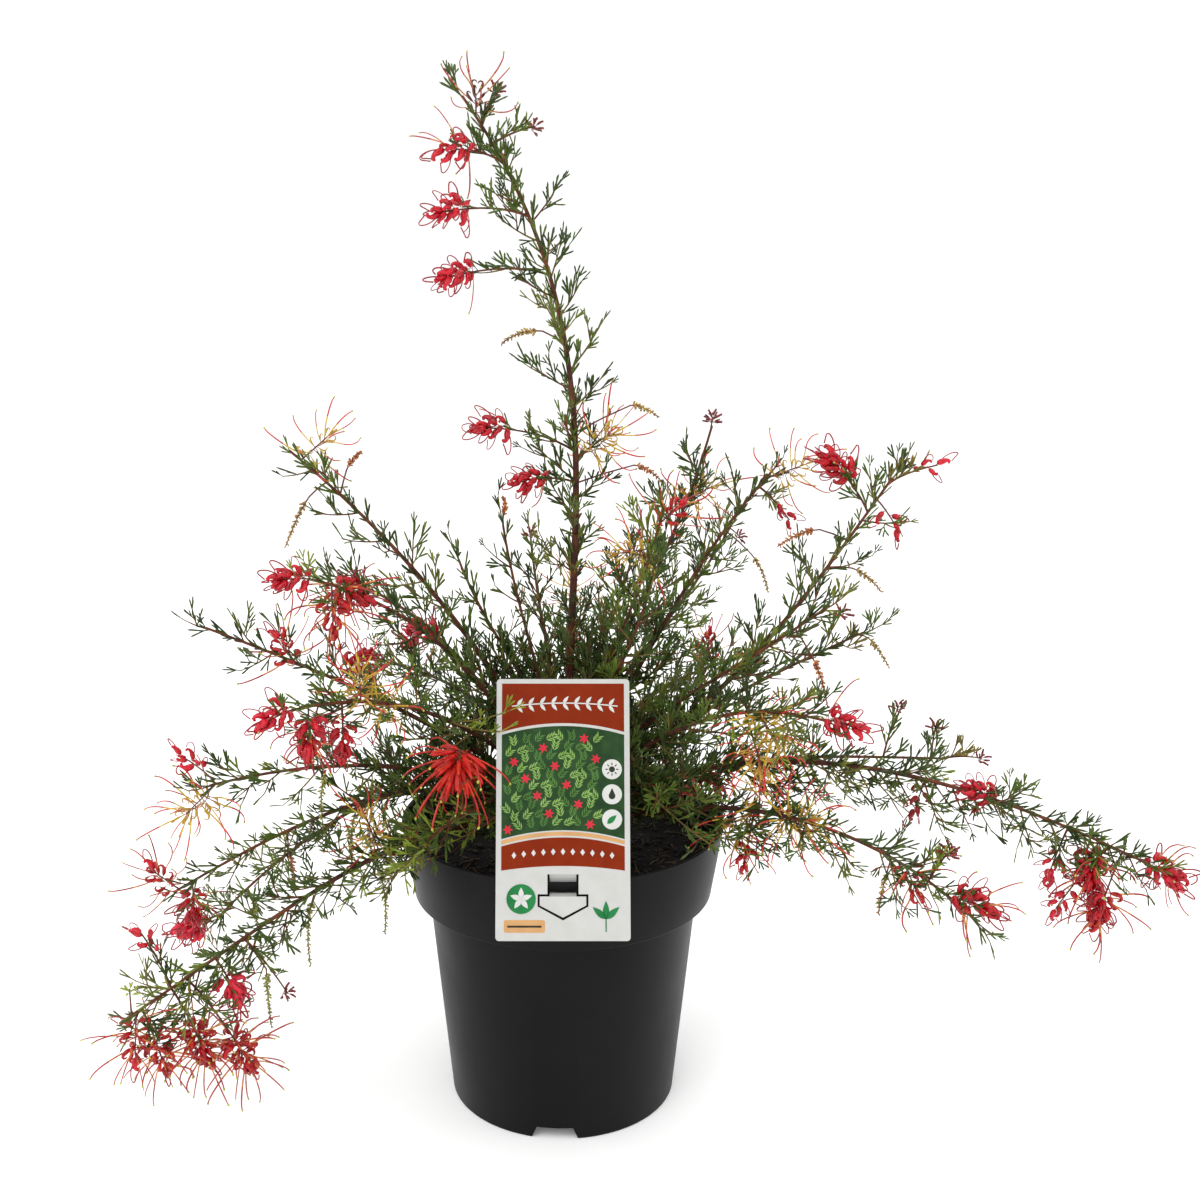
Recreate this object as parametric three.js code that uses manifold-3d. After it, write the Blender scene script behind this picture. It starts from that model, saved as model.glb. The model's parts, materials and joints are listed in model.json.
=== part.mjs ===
// A potted spider net grevillea: a low flowering shrub with one tall leader,
// arching boughs and red spider blooms, in a black nursery pot with a plain card tag.
// Millimetres, Z up. The origin is the centre of the pot's underside, and the
// tag hangs on the front of the rim, towards -Y.
import * as THREE from "three";
import { mergeVertices } from "three/addons/utils/BufferGeometryUtils.js";
import Module from "manifold-3d";

const wasm = await Module();
wasm.setup();

const degree = Math.PI / 180;
const gap = 0.35;

// Pot
const potSides = 32;
const potHeight = 181.4;
const rimRadius = 100;
const collarHeight = 46;
const collarFootRadius = 92.7;
const bodyTopRadius = 83.9;
const footRadius = 70.9;
const potWall = 1.9;
const potFloorTop = 10;
const potFloorUnder = 8;
const potFloorRadius = 70;
const padRadius = 22;
const notchWidth = 26;
const notchHeight = 7.5;
const notchDepth = 12;
const notchTurns = [266, 26, 146];
const slotWidth = 20;
const slotDepth = 14;
const slotBottom = 168;
const slotTop = 175.4;

// Potting mix
const soilHeight = 158;
const soilFlat = 20;
const soilEdgeDrop = 2;

// Card tag, leaning back over the rim
const tagWidth = 75.3;
const tagHeight = 146;
const tagThickness = 0.7;
const tagCorner = 2;
const tagLean = 21.7 * degree;
const tagFootHeight = 152;
const tagClearance = 0.5;
const tongueWidth = 15;
const tongueHinge = 36.6;
const tongueInset = 1.1;
const tongueSink = 0.9;
const windowGap = 1.2;
const arrowShoulder = 24.4;
const arrowSide = 19.5;
const arrowTip = 12.8;
const arrowWidth = 26;

// Trunk
const trunkHeight = 72;
const trunkFlare = 4.5;
const trunkFootRadius = 8;
const trunkTopRadius = 4.6;
const trunkLean = [2.5, -1];
const trunkSides = 9;
const trunkSteps = 7;
const trunkCrowding = 1.6;
const boughSides = 5;
const stemSides = 3;
const stemFlat = 0.7;

// Shoots
const tipRadius = 0.75;
const spraySpacing = 11.5;
const sprayLength = 32;
const sprayWidth = 6;
const sprayThickness = 1.1;
const shortestSpray = 9;
const sprayLean = [44, 16];
const firstSprayAt = 22;
const twigRadius = 0.8;
const sinkShare = 0.6;
const goldenTurn = 137.5 * degree;
const handle = 0.38;
const floorClearance = 3;

// Each bough leaves the trunk and ends at a tip that is named by its turn about
// the pot (0 is +X, 90 is the back), its reach and its height. rise and fall are
// the slopes at the seat and at the tip, and swing and veer turn those slopes
// sideways. seat is the height above the mix, girth the radius at the seat and
// bare the leafless share. A bloom has its kind, its share along the bough, and
// how far it stands out and up from there.
const boughs = [
  { name: "leader", turn: 205, reach: 60, top: 606, rise: 89, fall: 54, swing: 170, veer: -15,
    seat: 72, girth: 2.9, bare: 0.24, blooms: [
      ["spider", 0.97, 0, 7], ["bud", 0.96, -9, 20], ["net", 0.9, 29, 8], ["bud", 0.93, -24, 8],
      ["net", 0.82, 48, 5], ["net", 0.73, 58, 2], ["net", 0.45, 56, 12], ["net", 0.4, 32, -2],
      ["spider", 0.46, -14, 2], ["catkin", 0.48, -36, 14], ["catkin", 0.4, -38, 8],
      ["catkin", 0.62, 14, 8], ["net", 0.31, 10, -10]] },
  { name: "up_left", turn: 190, reach: 158, top: 414, rise: 60, fall: 42, swing: -6, veer: 0,
    seat: 55, girth: 2.2, bare: 0.22, blooms: [
      ["spider", 0.97, -8, 9], ["catkin", 0.9, 10, -8], ["catkin", 0.86, -4, 14]] },
  { name: "left_high", turn: 161, reach: 148, top: 322, rise: 52, fall: 16, swing: 6, veer: 5,
    seat: 44, girth: 2, bare: 0.24, blooms: [["net", 0.65, 0, -11], ["spider", 0.98, 6, 6]] },
  { name: "left_mid", turn: 214, reach: 158, top: 352, rise: 54, fall: 22, swing: -6, veer: 0,
    seat: 48, girth: 2.1, bare: 0.24, blooms: [
      ["net", 1, 17, 3], ["spider", 0.97, 0, -7], ["net", 0.9, -4, 10]] },
  { name: "left_long", turn: 190, reach: 210, top: 312, rise: 38, fall: 24, swing: 4, veer: 0,
    seat: 35, girth: 2.1, bare: 0.22, blooms: [["spider", 0.8, 2, 7], ["net", 0.72, -6, 17]] },
  { name: "left_low", turn: 222, reach: 190, top: 292, rise: 46, fall: 2, swing: 0, veer: 5,
    seat: 38, girth: 2, bare: 0.24, blooms: [
      ["net", 1, 10, 3], ["net", 0.96, 0, -9], ["net", 0.86, 0, -14], ["spider", 0.8, 0, 12],
      ["spider", 0.45, 0, -20]] },
  { name: "left_flat", turn: 200, reach: 214, top: 229, rise: 30, fall: -8, swing: 4, veer: 0,
    seat: 29, girth: 2, bare: 0.3, blooms: [["net", 1, 4, 12], ["spider", 1, 8, -12]] },
  { name: "left_droop", turn: 186, reach: 240, top: 141, rise: 36, fall: -30, swing: 4, veer: 0,
    seat: 21, girth: 2, bare: 0.34, blooms: [
      ["spider", 1, 2, 4], ["net", 0.95, 0, -8], ["catkin", 0.7, 0, -14]] },
  { name: "left_mid_droop", turn: 174, reach: 226, top: 100, rise: 50, fall: -48, swing: -8, veer: 0,
    seat: 18, girth: 1.9, bare: 0.4, blooms: [
      ["spider", 1, 2, -2], ["net", 1, 26, 0], ["spider", 0.55, 4, -8]] },
  { name: "low_left", turn: 208, reach: 276, top: 112, rise: 36, fall: -24, swing: 12, veer: 0,
    seat: 11, girth: 2.3, bare: 0.34, blooms: [
      ["net", 1, 0, -3], ["bud", 0.98, 0, 14], ["net", 0.8, -6, -18], ["bud", 0.72, -24, -30],
      ["net", 0.92, -4, -32], ["net", 0.86, -14, -42], ["spider", 0.8, -24, -60]] },
  { name: "short_left", turn: 170, reach: 64, top: 342, rise: 72, fall: 70, swing: 14, veer: 0,
    seat: 66, girth: 1.3, bare: 0, blooms: [] },
  { name: "mid_up_left", turn: 130, reach: 58, top: 356, rise: 76, fall: 76, swing: 12, veer: 0,
    seat: 60, girth: 1.3, bare: 0, blooms: [["catkin", 1, 0, 4]] },
  { name: "front_up", turn: 308, reach: 80, top: 344, rise: 68, fall: 70, swing: -6, veer: 0,
    seat: 50, girth: 1.6, bare: 0, blooms: [] },
  { name: "spider_up", turn: 335, reach: 62, top: 374, rise: 74, fall: 76, swing: -15, veer: 0,
    seat: 62, girth: 1.4, bare: 0, blooms: [["spider", 0.93, -12, -4], ["net", 1, 6, 6]] },
  { name: "bud_up", turn: 20, reach: 96, top: 420, rise: 66, fall: 74, swing: 14, veer: 0,
    seat: 65, girth: 1.7, bare: 0, blooms: [["bud", 1, 0, 4], ["spider", 0.78, 4, 10]] },
  { name: "upright", turn: 5, reach: 123, top: 394, rise: 58, fall: 50, swing: -10, veer: 0,
    seat: 56, girth: 1.9, bare: 0.24, blooms: [["spider", 1, 0, 6], ["net", 0.96, 12, -10]] },
  { name: "upright_back", turn: 42, reach: 150, top: 346, rise: 56, fall: 50, swing: 6, veer: 0,
    seat: 50, girth: 1.8, bare: 0.24, blooms: [["bud", 1, 6, -10], ["catkin", 0.97, 24, -18]] },
  { name: "right_up", turn: 352, reach: 190, top: 398, rise: 32, fall: 58, swing: 2, veer: 0,
    seat: 40, girth: 2.2, bare: 0.24, blooms: [
      ["net", 0.92, -20, 25], ["net", 0.98, 8, 7], ["net", 1, 26, 14], ["catkin", 0.78, 14, 0],
      ["catkin", 0.85, -16, 6]] },
  { name: "right_fork", turn: 330, reach: 166, top: 336, rise: 48, fall: 40, swing: -4, veer: 0,
    seat: 46, girth: 1.9, bare: 0, blooms: [["bud", 1, 8, -2], ["catkin", 0.9, 10, -14]] },
  { name: "right_mid", turn: 16, reach: 200, top: 284, rise: 36, fall: 20, swing: 4, veer: 0,
    seat: 30, girth: 2, bare: 0.24, blooms: [["catkin", 1, 4, -4]] },
  { name: "right_near", turn: 322, reach: 182, top: 280, rise: 42, fall: -4, swing: -8, veer: 0,
    seat: 36, girth: 1.9, bare: 0.24, blooms: [["net", 1, 4, 0], ["spider", 0.83, 0, -9]] },
  { name: "right_long", turn: 349, reach: 346, top: 178, rise: 34, fall: -24, swing: 0, veer: 0,
    seat: 24, girth: 2.4, bare: 0.28, blooms: [
      ["net", 0.72, 0, 6], ["net", 0.6, 0, -14], ["net", 0.8, -6, -32], ["net", 0.9, 0, -23],
      ["net", 0.94, 2, -34], ["net", 0.92, -2, -50], ["net", 1, 8, 0]] },
  { name: "right_slim", turn: 8, reach: 248, top: 206, rise: 28, fall: -4, swing: 8, veer: 0,
    seat: 17, girth: 1.7, bare: 0.3, blooms: [
      ["bud", 0.85, 0, 34], ["bud", 0.95, 0, 22], ["bud", 1, 22, 2], ["net", 0.38, 0, 4]] },
  { name: "right_low", turn: 334, reach: 250, top: 168, rise: 32, fall: -36, swing: -6, veer: 0,
    seat: 13, girth: 2, bare: 0.32, blooms: [
      ["spider", 0.6, 0, -9], ["net", 0.48, -4, -20], ["spider", 0.82, 0, -2], ["bud", 0.9, 0, 20],
      ["net", 0.97, -4, 6], ["net", 1, 8, 0]] },
  { name: "front_left", turn: 231, reach: 128, top: 201, rise: 52, fall: -24, swing: 14, veer: 0,
    seat: 24, girth: 1.4, bare: 0, blooms: [["spider", 0.7, 4, 16]] },
  { name: "front_right", turn: 312, reach: 108, top: 226, rise: 50, fall: 0, swing: -4, veer: 0,
    seat: 26, girth: 1.4, bare: 0, blooms: [["bud", 1, 0, 2]] },
  { name: "back_right", turn: 52, reach: 210, top: 236, rise: 38, fall: -4, swing: 8, veer: 0,
    seat: 34, girth: 2, bare: 0.26, blooms: [["net", 1, 4, 0], ["spider", 0.8, 0, 8]] },
  { name: "back_mid", turn: 88, reach: 190, top: 262, rise: 46, fall: 6, swing: 0, veer: 0,
    seat: 42, girth: 2, bare: 0.26, blooms: [["net", 0.97, 0, -8], ["spider", 1, 4, 8]] },
  { name: "back_left", turn: 128, reach: 214, top: 232, rise: 38, fall: -6, swing: 0, veer: 0,
    seat: 34, girth: 2, bare: 0.26, blooms: [["net", 1, 4, -2], ["net", 0.82, 0, 14]] },
  { name: "back_up_right", turn: 66, reach: 118, top: 330, rise: 64, fall: 56, swing: 6, veer: 0,
    seat: 54, girth: 1.6, bare: 0, blooms: [["bud", 1, 2, 4]] },
  { name: "back_up_left", turn: 102, reach: 102, top: 334, rise: 68, fall: 58, swing: 4, veer: 0,
    seat: 58, girth: 1.5, bare: 0, blooms: [["spider", 1, 0, 4]] },
  { name: "back_low_right", turn: 70, reach: 236, top: 130, rise: 38, fall: -40, swing: 4, veer: 0,
    seat: 19, girth: 1.9, bare: 0.36, blooms: [["spider", 1, 0, 0], ["net", 0.9, -4, -18]] },
  { name: "back_low_left", turn: 110, reach: 228, top: 140, rise: 38, fall: -38, swing: -4, veer: 0,
    seat: 19, girth: 1.9, bare: 0.36, blooms: [["net", 1, 0, -2], ["spider", 0.88, 0, -18]] },
];

// Colours and finishes
const black = { color: 0x1c1c1e, roughness: 0.55, metalness: 0 };
const mixBrown = { color: 0x1d1712, roughness: 0.95, metalness: 0 };
const cardWhite = { color: 0xf0efe9, roughness: 0.4, metalness: 0 };
const bark = { color: 0x5a3a2c, roughness: 0.85, metalness: 0 };
const twigRed = { color: 0x6b3a30, roughness: 0.8, metalness: 0 };
const leafGreen = { color: 0x4c6234, roughness: 0.6, metalness: 0 };

const plant = new THREE.Group();
plant.name = "potted_spider_net_grevillea";

// A geometry with only its places, each shared by the faces that meet there
function welded(geometry) {
  geometry.deleteAttribute("normal");
  geometry.deleteAttribute("uv");
  return mergeVertices(geometry, 1e-4);
}

// A closed three.js geometry as a solid that can be joined and cut
function toSolid(geometry) {
  const merged = welded(geometry);
  return new wasm.Manifold(new wasm.Mesh({
    numProp: 3,
    vertProperties: Float32Array.from(merged.attributes.position.array),
    triVerts: Uint32Array.from(merged.index.array),
  }));
}

function toGeometry(solid) {
  const mesh = solid.getMesh();
  const geometry = new THREE.BufferGeometry();
  geometry.setAttribute("position", new THREE.BufferAttribute(mesh.vertProperties, 3));
  geometry.setIndex(new THREE.BufferAttribute(mesh.triVerts, 1));
  geometry.computeVertexNormals();
  return geometry;
}

function addNode(name, geometry, finish) {
  const mesh = new THREE.Mesh(geometry, new THREE.MeshStandardMaterial(finish));
  mesh.name = name;
  plant.add(mesh);
  return mesh;
}

// A seeded stream of numbers from 0 to 1
function makeRandom(seed) {
  let state = seed;
  return () => {
    state = (Math.imul(state, 1664525) + 1013904223) >>> 0;
    return state / 4294967296;
  };
}

// A horizontal direction at a turn, tilted up by a slope
function heading(turn, slope) {
  const level = Math.cos(slope * degree);
  return new THREE.Vector3(
    level * Math.cos(turn * degree), level * Math.sin(turn * degree), Math.sin(slope * degree));
}

// Pot

// A lathe round Z from a closed profile of [radius, height] pairs
function lathed(profile) {
  const points = profile.map(([radius, height]) => new THREE.Vector2(radius, height));
  return new THREE.LatheGeometry(points.reverse(), potSides).rotateX(Math.PI / 2);
}

function makePot() {
  const collarFoot = potHeight - collarHeight;
  const shell = toSolid(lathed([
    [0, 0],
    [0, potFloorTop],
    [potFloorRadius, potFloorTop],
    [bodyTopRadius - potWall, collarFoot + potWall],
    [collarFootRadius - potWall, collarFoot + potWall],
    [rimRadius - potWall, potHeight],
    [rimRadius, potHeight],
    [collarFootRadius, collarFoot],
    [bodyTopRadius, collarFoot],
    [footRadius, 0],
    [footRadius - potWall, 0],
    [footRadius - potWall, potFloorUnder],
    [padRadius, potFloorUnder],
    [padRadius, 0],
    [0, 0],
  ]));
  let pot = shell;
  for (const turn of notchTurns) {
    const notch = new THREE.BoxGeometry(notchDepth, notchWidth, 2 * notchHeight);
    notch.translate(footRadius, 0, 0).rotateZ(turn * degree);
    pot = pot.subtract(toSolid(notch));
  }
  const slot = new THREE.BoxGeometry(slotWidth, slotDepth, slotTop - slotBottom);
  slot.translate(0, -rimRadius, (slotTop + slotBottom) / 2);
  return pot.subtract(toSolid(slot));
}

function makeSoil() {
  const collarFoot = potHeight - collarHeight;
  const slope = (rimRadius - collarFootRadius) / collarHeight;
  const edgeHeight = soilHeight - soilEdgeDrop;
  const edgeRadius = collarFootRadius - potWall - gap + slope * (edgeHeight - collarFoot - potWall);
  return lathed([
    [0, potFloorTop + gap],
    [0, soilHeight],
    [soilFlat, soilHeight],
    [edgeRadius, edgeHeight],
    [collarFootRadius - potWall - gap, collarFoot + potWall + gap],
    [bodyTopRadius - potWall - 2 * gap, collarFoot + potWall + gap],
    [potFloorRadius - gap, potFloorTop + gap],
    [0, potFloorTop + gap],
  ]);
}

// Tag

// The tag's own frame: across, up along the lean, and out of the front face
const tagUp = new THREE.Vector3(0, Math.sin(tagLean), Math.cos(tagLean));
const tagOut = new THREE.Vector3(0, -Math.cos(tagLean), Math.sin(tagLean));
const tagFoot = new THREE.Vector3(
  0, -rimRadius - tagClearance - (potHeight - tagFootHeight) * Math.tan(tagLean), tagFootHeight);
const tagPlace = new THREE.Matrix4()
  .makeBasis(new THREE.Vector3(1, 0, 0), tagUp, tagOut)
  .setPosition(tagFoot);

function arrowOutline(grow) {
  const half = arrowWidth / 2 + grow;
  const neck = tongueWidth / 2 + grow;
  const outline = new THREE.Shape();
  outline.moveTo(0, arrowTip - 1.3 * grow);
  outline.lineTo(half, arrowSide - 0.5 * grow);
  outline.lineTo(half, arrowShoulder + grow);
  outline.lineTo(neck, arrowShoulder + grow);
  return { outline, half, neck };
}

function makeTag() {
  const half = tagWidth / 2;
  const plate = new THREE.Shape();
  plate.moveTo(-half + tagCorner, 0);
  plate.lineTo(half - tagCorner, 0);
  plate.lineTo(half, tagCorner);
  plate.lineTo(half, tagHeight - tagCorner);
  plate.lineTo(half - tagCorner, tagHeight);
  plate.lineTo(-half + tagCorner, tagHeight);
  plate.lineTo(-half, tagHeight - tagCorner);
  plate.lineTo(-half, tagCorner);
  plate.closePath();

  const opening = arrowOutline(windowGap);
  opening.outline.lineTo(opening.neck, tongueHinge);
  opening.outline.lineTo(-opening.neck, tongueHinge);
  opening.outline.lineTo(-opening.neck, arrowShoulder + windowGap);
  opening.outline.lineTo(-opening.half, arrowShoulder + windowGap);
  opening.outline.lineTo(-opening.half, arrowSide - 0.5 * windowGap);
  opening.outline.closePath();
  plate.holes.push(opening.outline);

  const arrow = arrowOutline(0);
  arrow.outline.lineTo(-arrow.half, arrowShoulder);
  arrow.outline.lineTo(-arrow.half, arrowSide);
  arrow.outline.closePath();

  const sheet = { depth: tagThickness, bevelEnabled: false };
  const face = new THREE.ExtrudeGeometry(plate, sheet).applyMatrix4(tagPlace);
  const head = new THREE.ExtrudeGeometry(arrow.outline, sheet).applyMatrix4(tagPlace);
  return toSolid(face).add(toSolid(head)).add(toSolid(makeTongue()));
}

// The tongue folds back over the rim, runs down inside it and comes out of the
// slot to the arrow head
function makeTongue() {
  const hinge = tagFoot.clone().addScaledVector(tagUp, tongueHinge + 0.6);
  const neck = tagFoot.clone().addScaledVector(tagUp, arrowShoulder - 0.8);
  const overRim = -rimRadius + potWall + tongueInset;
  const behindRim = overRim + 0.9;
  const throughSlot = overRim - 2.5;
  const strapTop = slotTop - tongueSink;
  const strapUnder = strapTop - tagThickness;
  const strap = new THREE.Shape();
  strap.moveTo(hinge.y - 0.4, hinge.z);
  strap.lineTo(overRim - 0.1, potHeight + 0.9);
  strap.lineTo(behindRim, strapTop);
  strap.lineTo(throughSlot, strapTop);
  strap.lineTo(neck.y - 0.3, neck.z + 0.4);
  strap.lineTo(neck.y - 0.3, neck.z - 0.5);
  strap.lineTo(throughSlot, strapUnder);
  strap.lineTo(behindRim + tagThickness, strapUnder);
  strap.lineTo(overRim + tagThickness + 0.7, potHeight + 1.4);
  strap.lineTo(hinge.y + 0.5, hinge.z + 0.9);
  strap.closePath();
  const toTag = new THREE.Matrix4().makeBasis(
    new THREE.Vector3(0, 1, 0), new THREE.Vector3(0, 0, 1), new THREE.Vector3(1, 0, 0));
  return new THREE.ExtrudeGeometry(strap, { depth: tongueWidth, bevelEnabled: false })
    .translate(0, 0, -tongueWidth / 2)
    .applyMatrix4(toTag);
}

// Trunk

function trunkRadius(height) {
  const share = Math.min(1, Math.max(0, height / trunkHeight));
  const flare = trunkFlare * Math.exp(-height / 7);
  return trunkFootRadius + (trunkTopRadius - trunkFootRadius) * share + flare;
}

function trunkCentre(height) {
  const share = height / trunkHeight;
  return new THREE.Vector3(trunkLean[0] * share, trunkLean[1] * share, soilHeight + height);
}

// The height of each ring of the trunk, closer together over the flare
function trunkRing(step) {
  return gap + (trunkHeight - gap) * (step / trunkSteps) ** trunkCrowding;
}

// The distance from the trunk's middle to its flat-sided face at a turn
function trunkFace(turn, height) {
  let ring = 0;
  while (ring < trunkSteps - 1 && trunkRing(ring + 1) < height) {
    ring += 1;
  }
  const share = (height - trunkRing(ring)) / (trunkRing(ring + 1) - trunkRing(ring));
  const radius = THREE.MathUtils.lerp(
    trunkRadius(trunkRing(ring)), trunkRadius(trunkRing(ring + 1)), share);
  const facet = (2 * Math.PI) / trunkSides;
  const turned = THREE.MathUtils.euclideanModulo(turn * degree + Math.PI / 2, facet);
  return (radius * Math.cos(facet / 2)) / Math.cos(turned - facet / 2);
}

// A closed tapering tube from a cylinder whose rings are moved along a path.
// place(share) gives a ring's centre, its two cross directions and its radius.
function taperedTube(sides, steps, place) {
  const tube = new THREE.CylinderGeometry(1, 1, 1, sides, steps);
  const position = tube.attributes.position;
  const point = new THREE.Vector3();
  for (let i = 0; i < position.count; i += 1) {
    const share = Math.min(1, Math.max(0, position.getY(i) + 0.5));
    const ring = place(share);
    point.copy(ring.centre)
      .addScaledVector(ring.across, ring.radius * position.getX(i))
      .addScaledVector(ring.beside, -ring.radius * position.getZ(i));
    position.setXYZ(i, point.x, point.y, point.z);
  }
  return tube;
}

function makeTrunk() {
  const across = new THREE.Vector3(1, 0, 0);
  const beside = new THREE.Vector3(0, 1, 0);
  return taperedTube(trunkSides, trunkSteps, (share) => {
    const height = trunkRing(share * trunkSteps);
    return { centre: trunkCentre(height), across, beside, radius: trunkRadius(height) };
  });
}

// Boughs

// The bough's line from its seat on the trunk to its tip
function boughLine(bough) {
  const seatTurn = bough.turn + bough.swing;
  const start = trunkCentre(bough.seat);
  const onTop = bough.seat >= trunkHeight;
  if (onTop) {
    start.z += gap;
  } else {
    const flat = bough.bare > 0 ? 1 : stemFlat;
    const out = trunkFace(seatTurn, bough.seat) + gap
      + flat * bough.girth * Math.sin(bough.rise * degree);
    start.addScaledVector(heading(seatTurn, 0), out);
  }
  const end = heading(bough.turn, 0).multiplyScalar(bough.reach);
  end.z = bough.top;
  const hold = handle * start.distanceTo(end);
  const first = start.clone().addScaledVector(heading(seatTurn, bough.rise), hold);
  const second = end.clone().addScaledVector(heading(bough.turn + bough.veer, bough.fall), -hold);
  return new THREE.CubicBezierCurve3(start, first, second, end);
}

function boughRadius(bough, share) {
  return bough.girth + (tipRadius - bough.girth) * share ** 0.8;
}

// A tapering length of a bough between two shares
function boughTube(bough, from, to, sides, steps) {
  const frames = 64;
  const { normals, binormals } = bough.line.computeFrenetFrames(frames);
  return taperedTube(sides, steps, (step) => {
    const share = from + (to - from) * step;
    const frame = Math.round(share * frames);
    return {
      centre: bough.line.getPoint(share),
      across: normals[frame],
      beside: binormals[frame],
      radius: boughRadius(bough, share),
    };
  });
}

const lineSteps = 28;
for (const bough of boughs) {
  bough.line = boughLine(bough);
  bough.length = bough.line.getLength();
  bough.points = [];
  for (let i = 0; i <= lineSteps; i += 1) {
    bough.points.push(bough.line.getPoint(i / lineSteps));
  }
}

// Room to grow

const segment = new THREE.Line3();
const nearest = new THREE.Vector3();

function distanceTo(bough, point) {
  let best = Infinity;
  for (let i = 0; i < lineSteps; i += 1) {
    segment.set(bough.points[i], bough.points[i + 1]);
    segment.closestPointToPoint(point, true, nearest);
    best = Math.min(best, nearest.distanceToSquared(point));
  }
  return Math.sqrt(best);
}

// A point with some width round it is free for a bough's leaves where that bough
// is nearer than any other, and where trunk, pot, tag and floor are clear
function isFree(own, point, half) {
  if (point.z - half < floorClearance) {
    return false;
  }
  const away = Math.hypot(point.x, point.y);
  if (away < rimRadius + 3 + half && point.z < soilHeight + 3 + half) {
    return false;
  }
  const nearWall = away > collarFootRadius - 6 - half && away < rimRadius + 2 + half;
  if (nearWall && point.z < potHeight + 2 + half) {
    return false;
  }
  if (point.z < soilHeight + trunkHeight + 3 && away < trunkFootRadius + 5 + half) {
    return false;
  }
  const fromTag = point.clone().sub(tagFoot);
  const besideTag = Math.abs(fromTag.x) < tagWidth / 2 + 2 + half;
  const alongTag = fromTag.dot(tagUp);
  const frontOfTag = fromTag.dot(tagOut);
  if (besideTag && alongTag < tagHeight + 2 + half && frontOfTag > -2.5 - half) {
    return false;
  }
  const room = distanceTo(own, point) + 2 * half + 0.6;
  return boughs.every((other) => other === own || distanceTo(other, point) > room);
}

// Leaves and blooms

const upright = new THREE.Vector3(0, 0, 1);

// A spindle of eight faces from its root, sunk behind start, to its tip
function spindle(start, direction, length, width, thickness, roll, sunk) {
  const blade = new THREE.OctahedronGeometry(1, 0);
  blade.scale(width / 2, thickness / 2, (length + sunk) / 2);
  blade.rotateZ(roll);
  blade.applyQuaternion(new THREE.Quaternion().setFromUnitVectors(upright, direction));
  const middle = start.clone().addScaledVector(direction, (length - sunk) / 2);
  blade.translate(middle.x, middle.y, middle.z);
  return toSolid(blade);
}

// Whether a spindle keeps to its bough's own space over its whole length
function spindleFits(own, start, direction, length, width) {
  const checks = Math.ceil(length / 3);
  const point = new THREE.Vector3();
  for (let i = 1; i <= checks; i += 1) {
    const share = i / checks;
    point.copy(start).addScaledVector(direction, share * length);
    const half = (width / 2) * (1 - Math.abs(2 * share - 1));
    if (!isFree(own, point, half + 0.2)) {
      return false;
    }
  }
  return true;
}

// A three-sided twig
function twig(start, end, radius) {
  const length = start.distanceTo(end);
  const direction = end.clone().sub(start).normalize();
  const cone = new THREE.CylinderGeometry(0.45, radius, length, 3, 1);
  cone.translate(0, length / 2, 0);
  cone.applyQuaternion(
    new THREE.Quaternion().setFromUnitVectors(new THREE.Vector3(0, 1, 0), direction));
  cone.translate(start.x, start.y, start.z);
  return toSolid(cone);
}

// A bloom is one spiked body, its arms round a small middle. A bud head and a
// catkin are plain bodies, as long as they are wide or longer.
const bloomForms = {
  net: { arm: 15, middle: 5.2, lift: -0.2, detail: 1 },
  spider: { arm: 28, middle: 2.8, lift: 0.5, detail: 1 },
  bud: { arm: 6, middle: 6, lift: 0.5, detail: 0 },
  catkin: { arm: 9, middle: 3, lift: -0.6, detail: 0 },
};
const stalkLength = 18;

// An octahedron whose six points stand out as arms, and whose edges' middles,
// where it has any, are pulled in. reach(arm) gives an arm's place.
function spikedBody(form, reach) {
  const body = welded(new THREE.OctahedronGeometry(1, form.detail));
  const position = body.attributes.position;
  const point = new THREE.Vector3();
  for (let i = 0; i < position.count; i += 1) {
    point.fromBufferAttribute(position, i);
    const isArm = Math.max(Math.abs(point.x), Math.abs(point.y), Math.abs(point.z)) > 0.99;
    reach(point, isArm);
    position.setXYZ(i, point.x, point.y, point.z);
  }
  return body;
}

// The middle of a mass's stem, which runs straight from ring to ring
function stemPoint(bough, share) {
  const { from, steps } = bough.stem;
  const along = (Math.max(0, share - from) / (1 - from)) * steps;
  const ring = Math.min(steps - 1, Math.floor(along));
  const span = (1 - from) / steps;
  const low = bough.line.getPoint(from + ring * span);
  return low.lerp(bough.line.getPoint(Math.min(1, from + (ring + 1) * span)), along - ring);
}

// The place of a bloom, the foot of its stalk on the stem and the stalk's way
function bloomPlace(bough, bloom) {
  const [kind, share, out, up] = bloom;
  const root = stemPoint(bough, Math.min(share, 0.985));
  const seat = bough.line.getPoint(share).addScaledVector(heading(bough.turn, 0), out);
  seat.z += up;
  const stalk = seat.clone().sub(root);
  const far = stalk.length();
  if (far < 2) {
    stalk.copy(bough.line.getTangent(share));
  }
  stalk.normalize();
  return { form: bloomForms[kind], root, seat, stalk, far };
}

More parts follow.
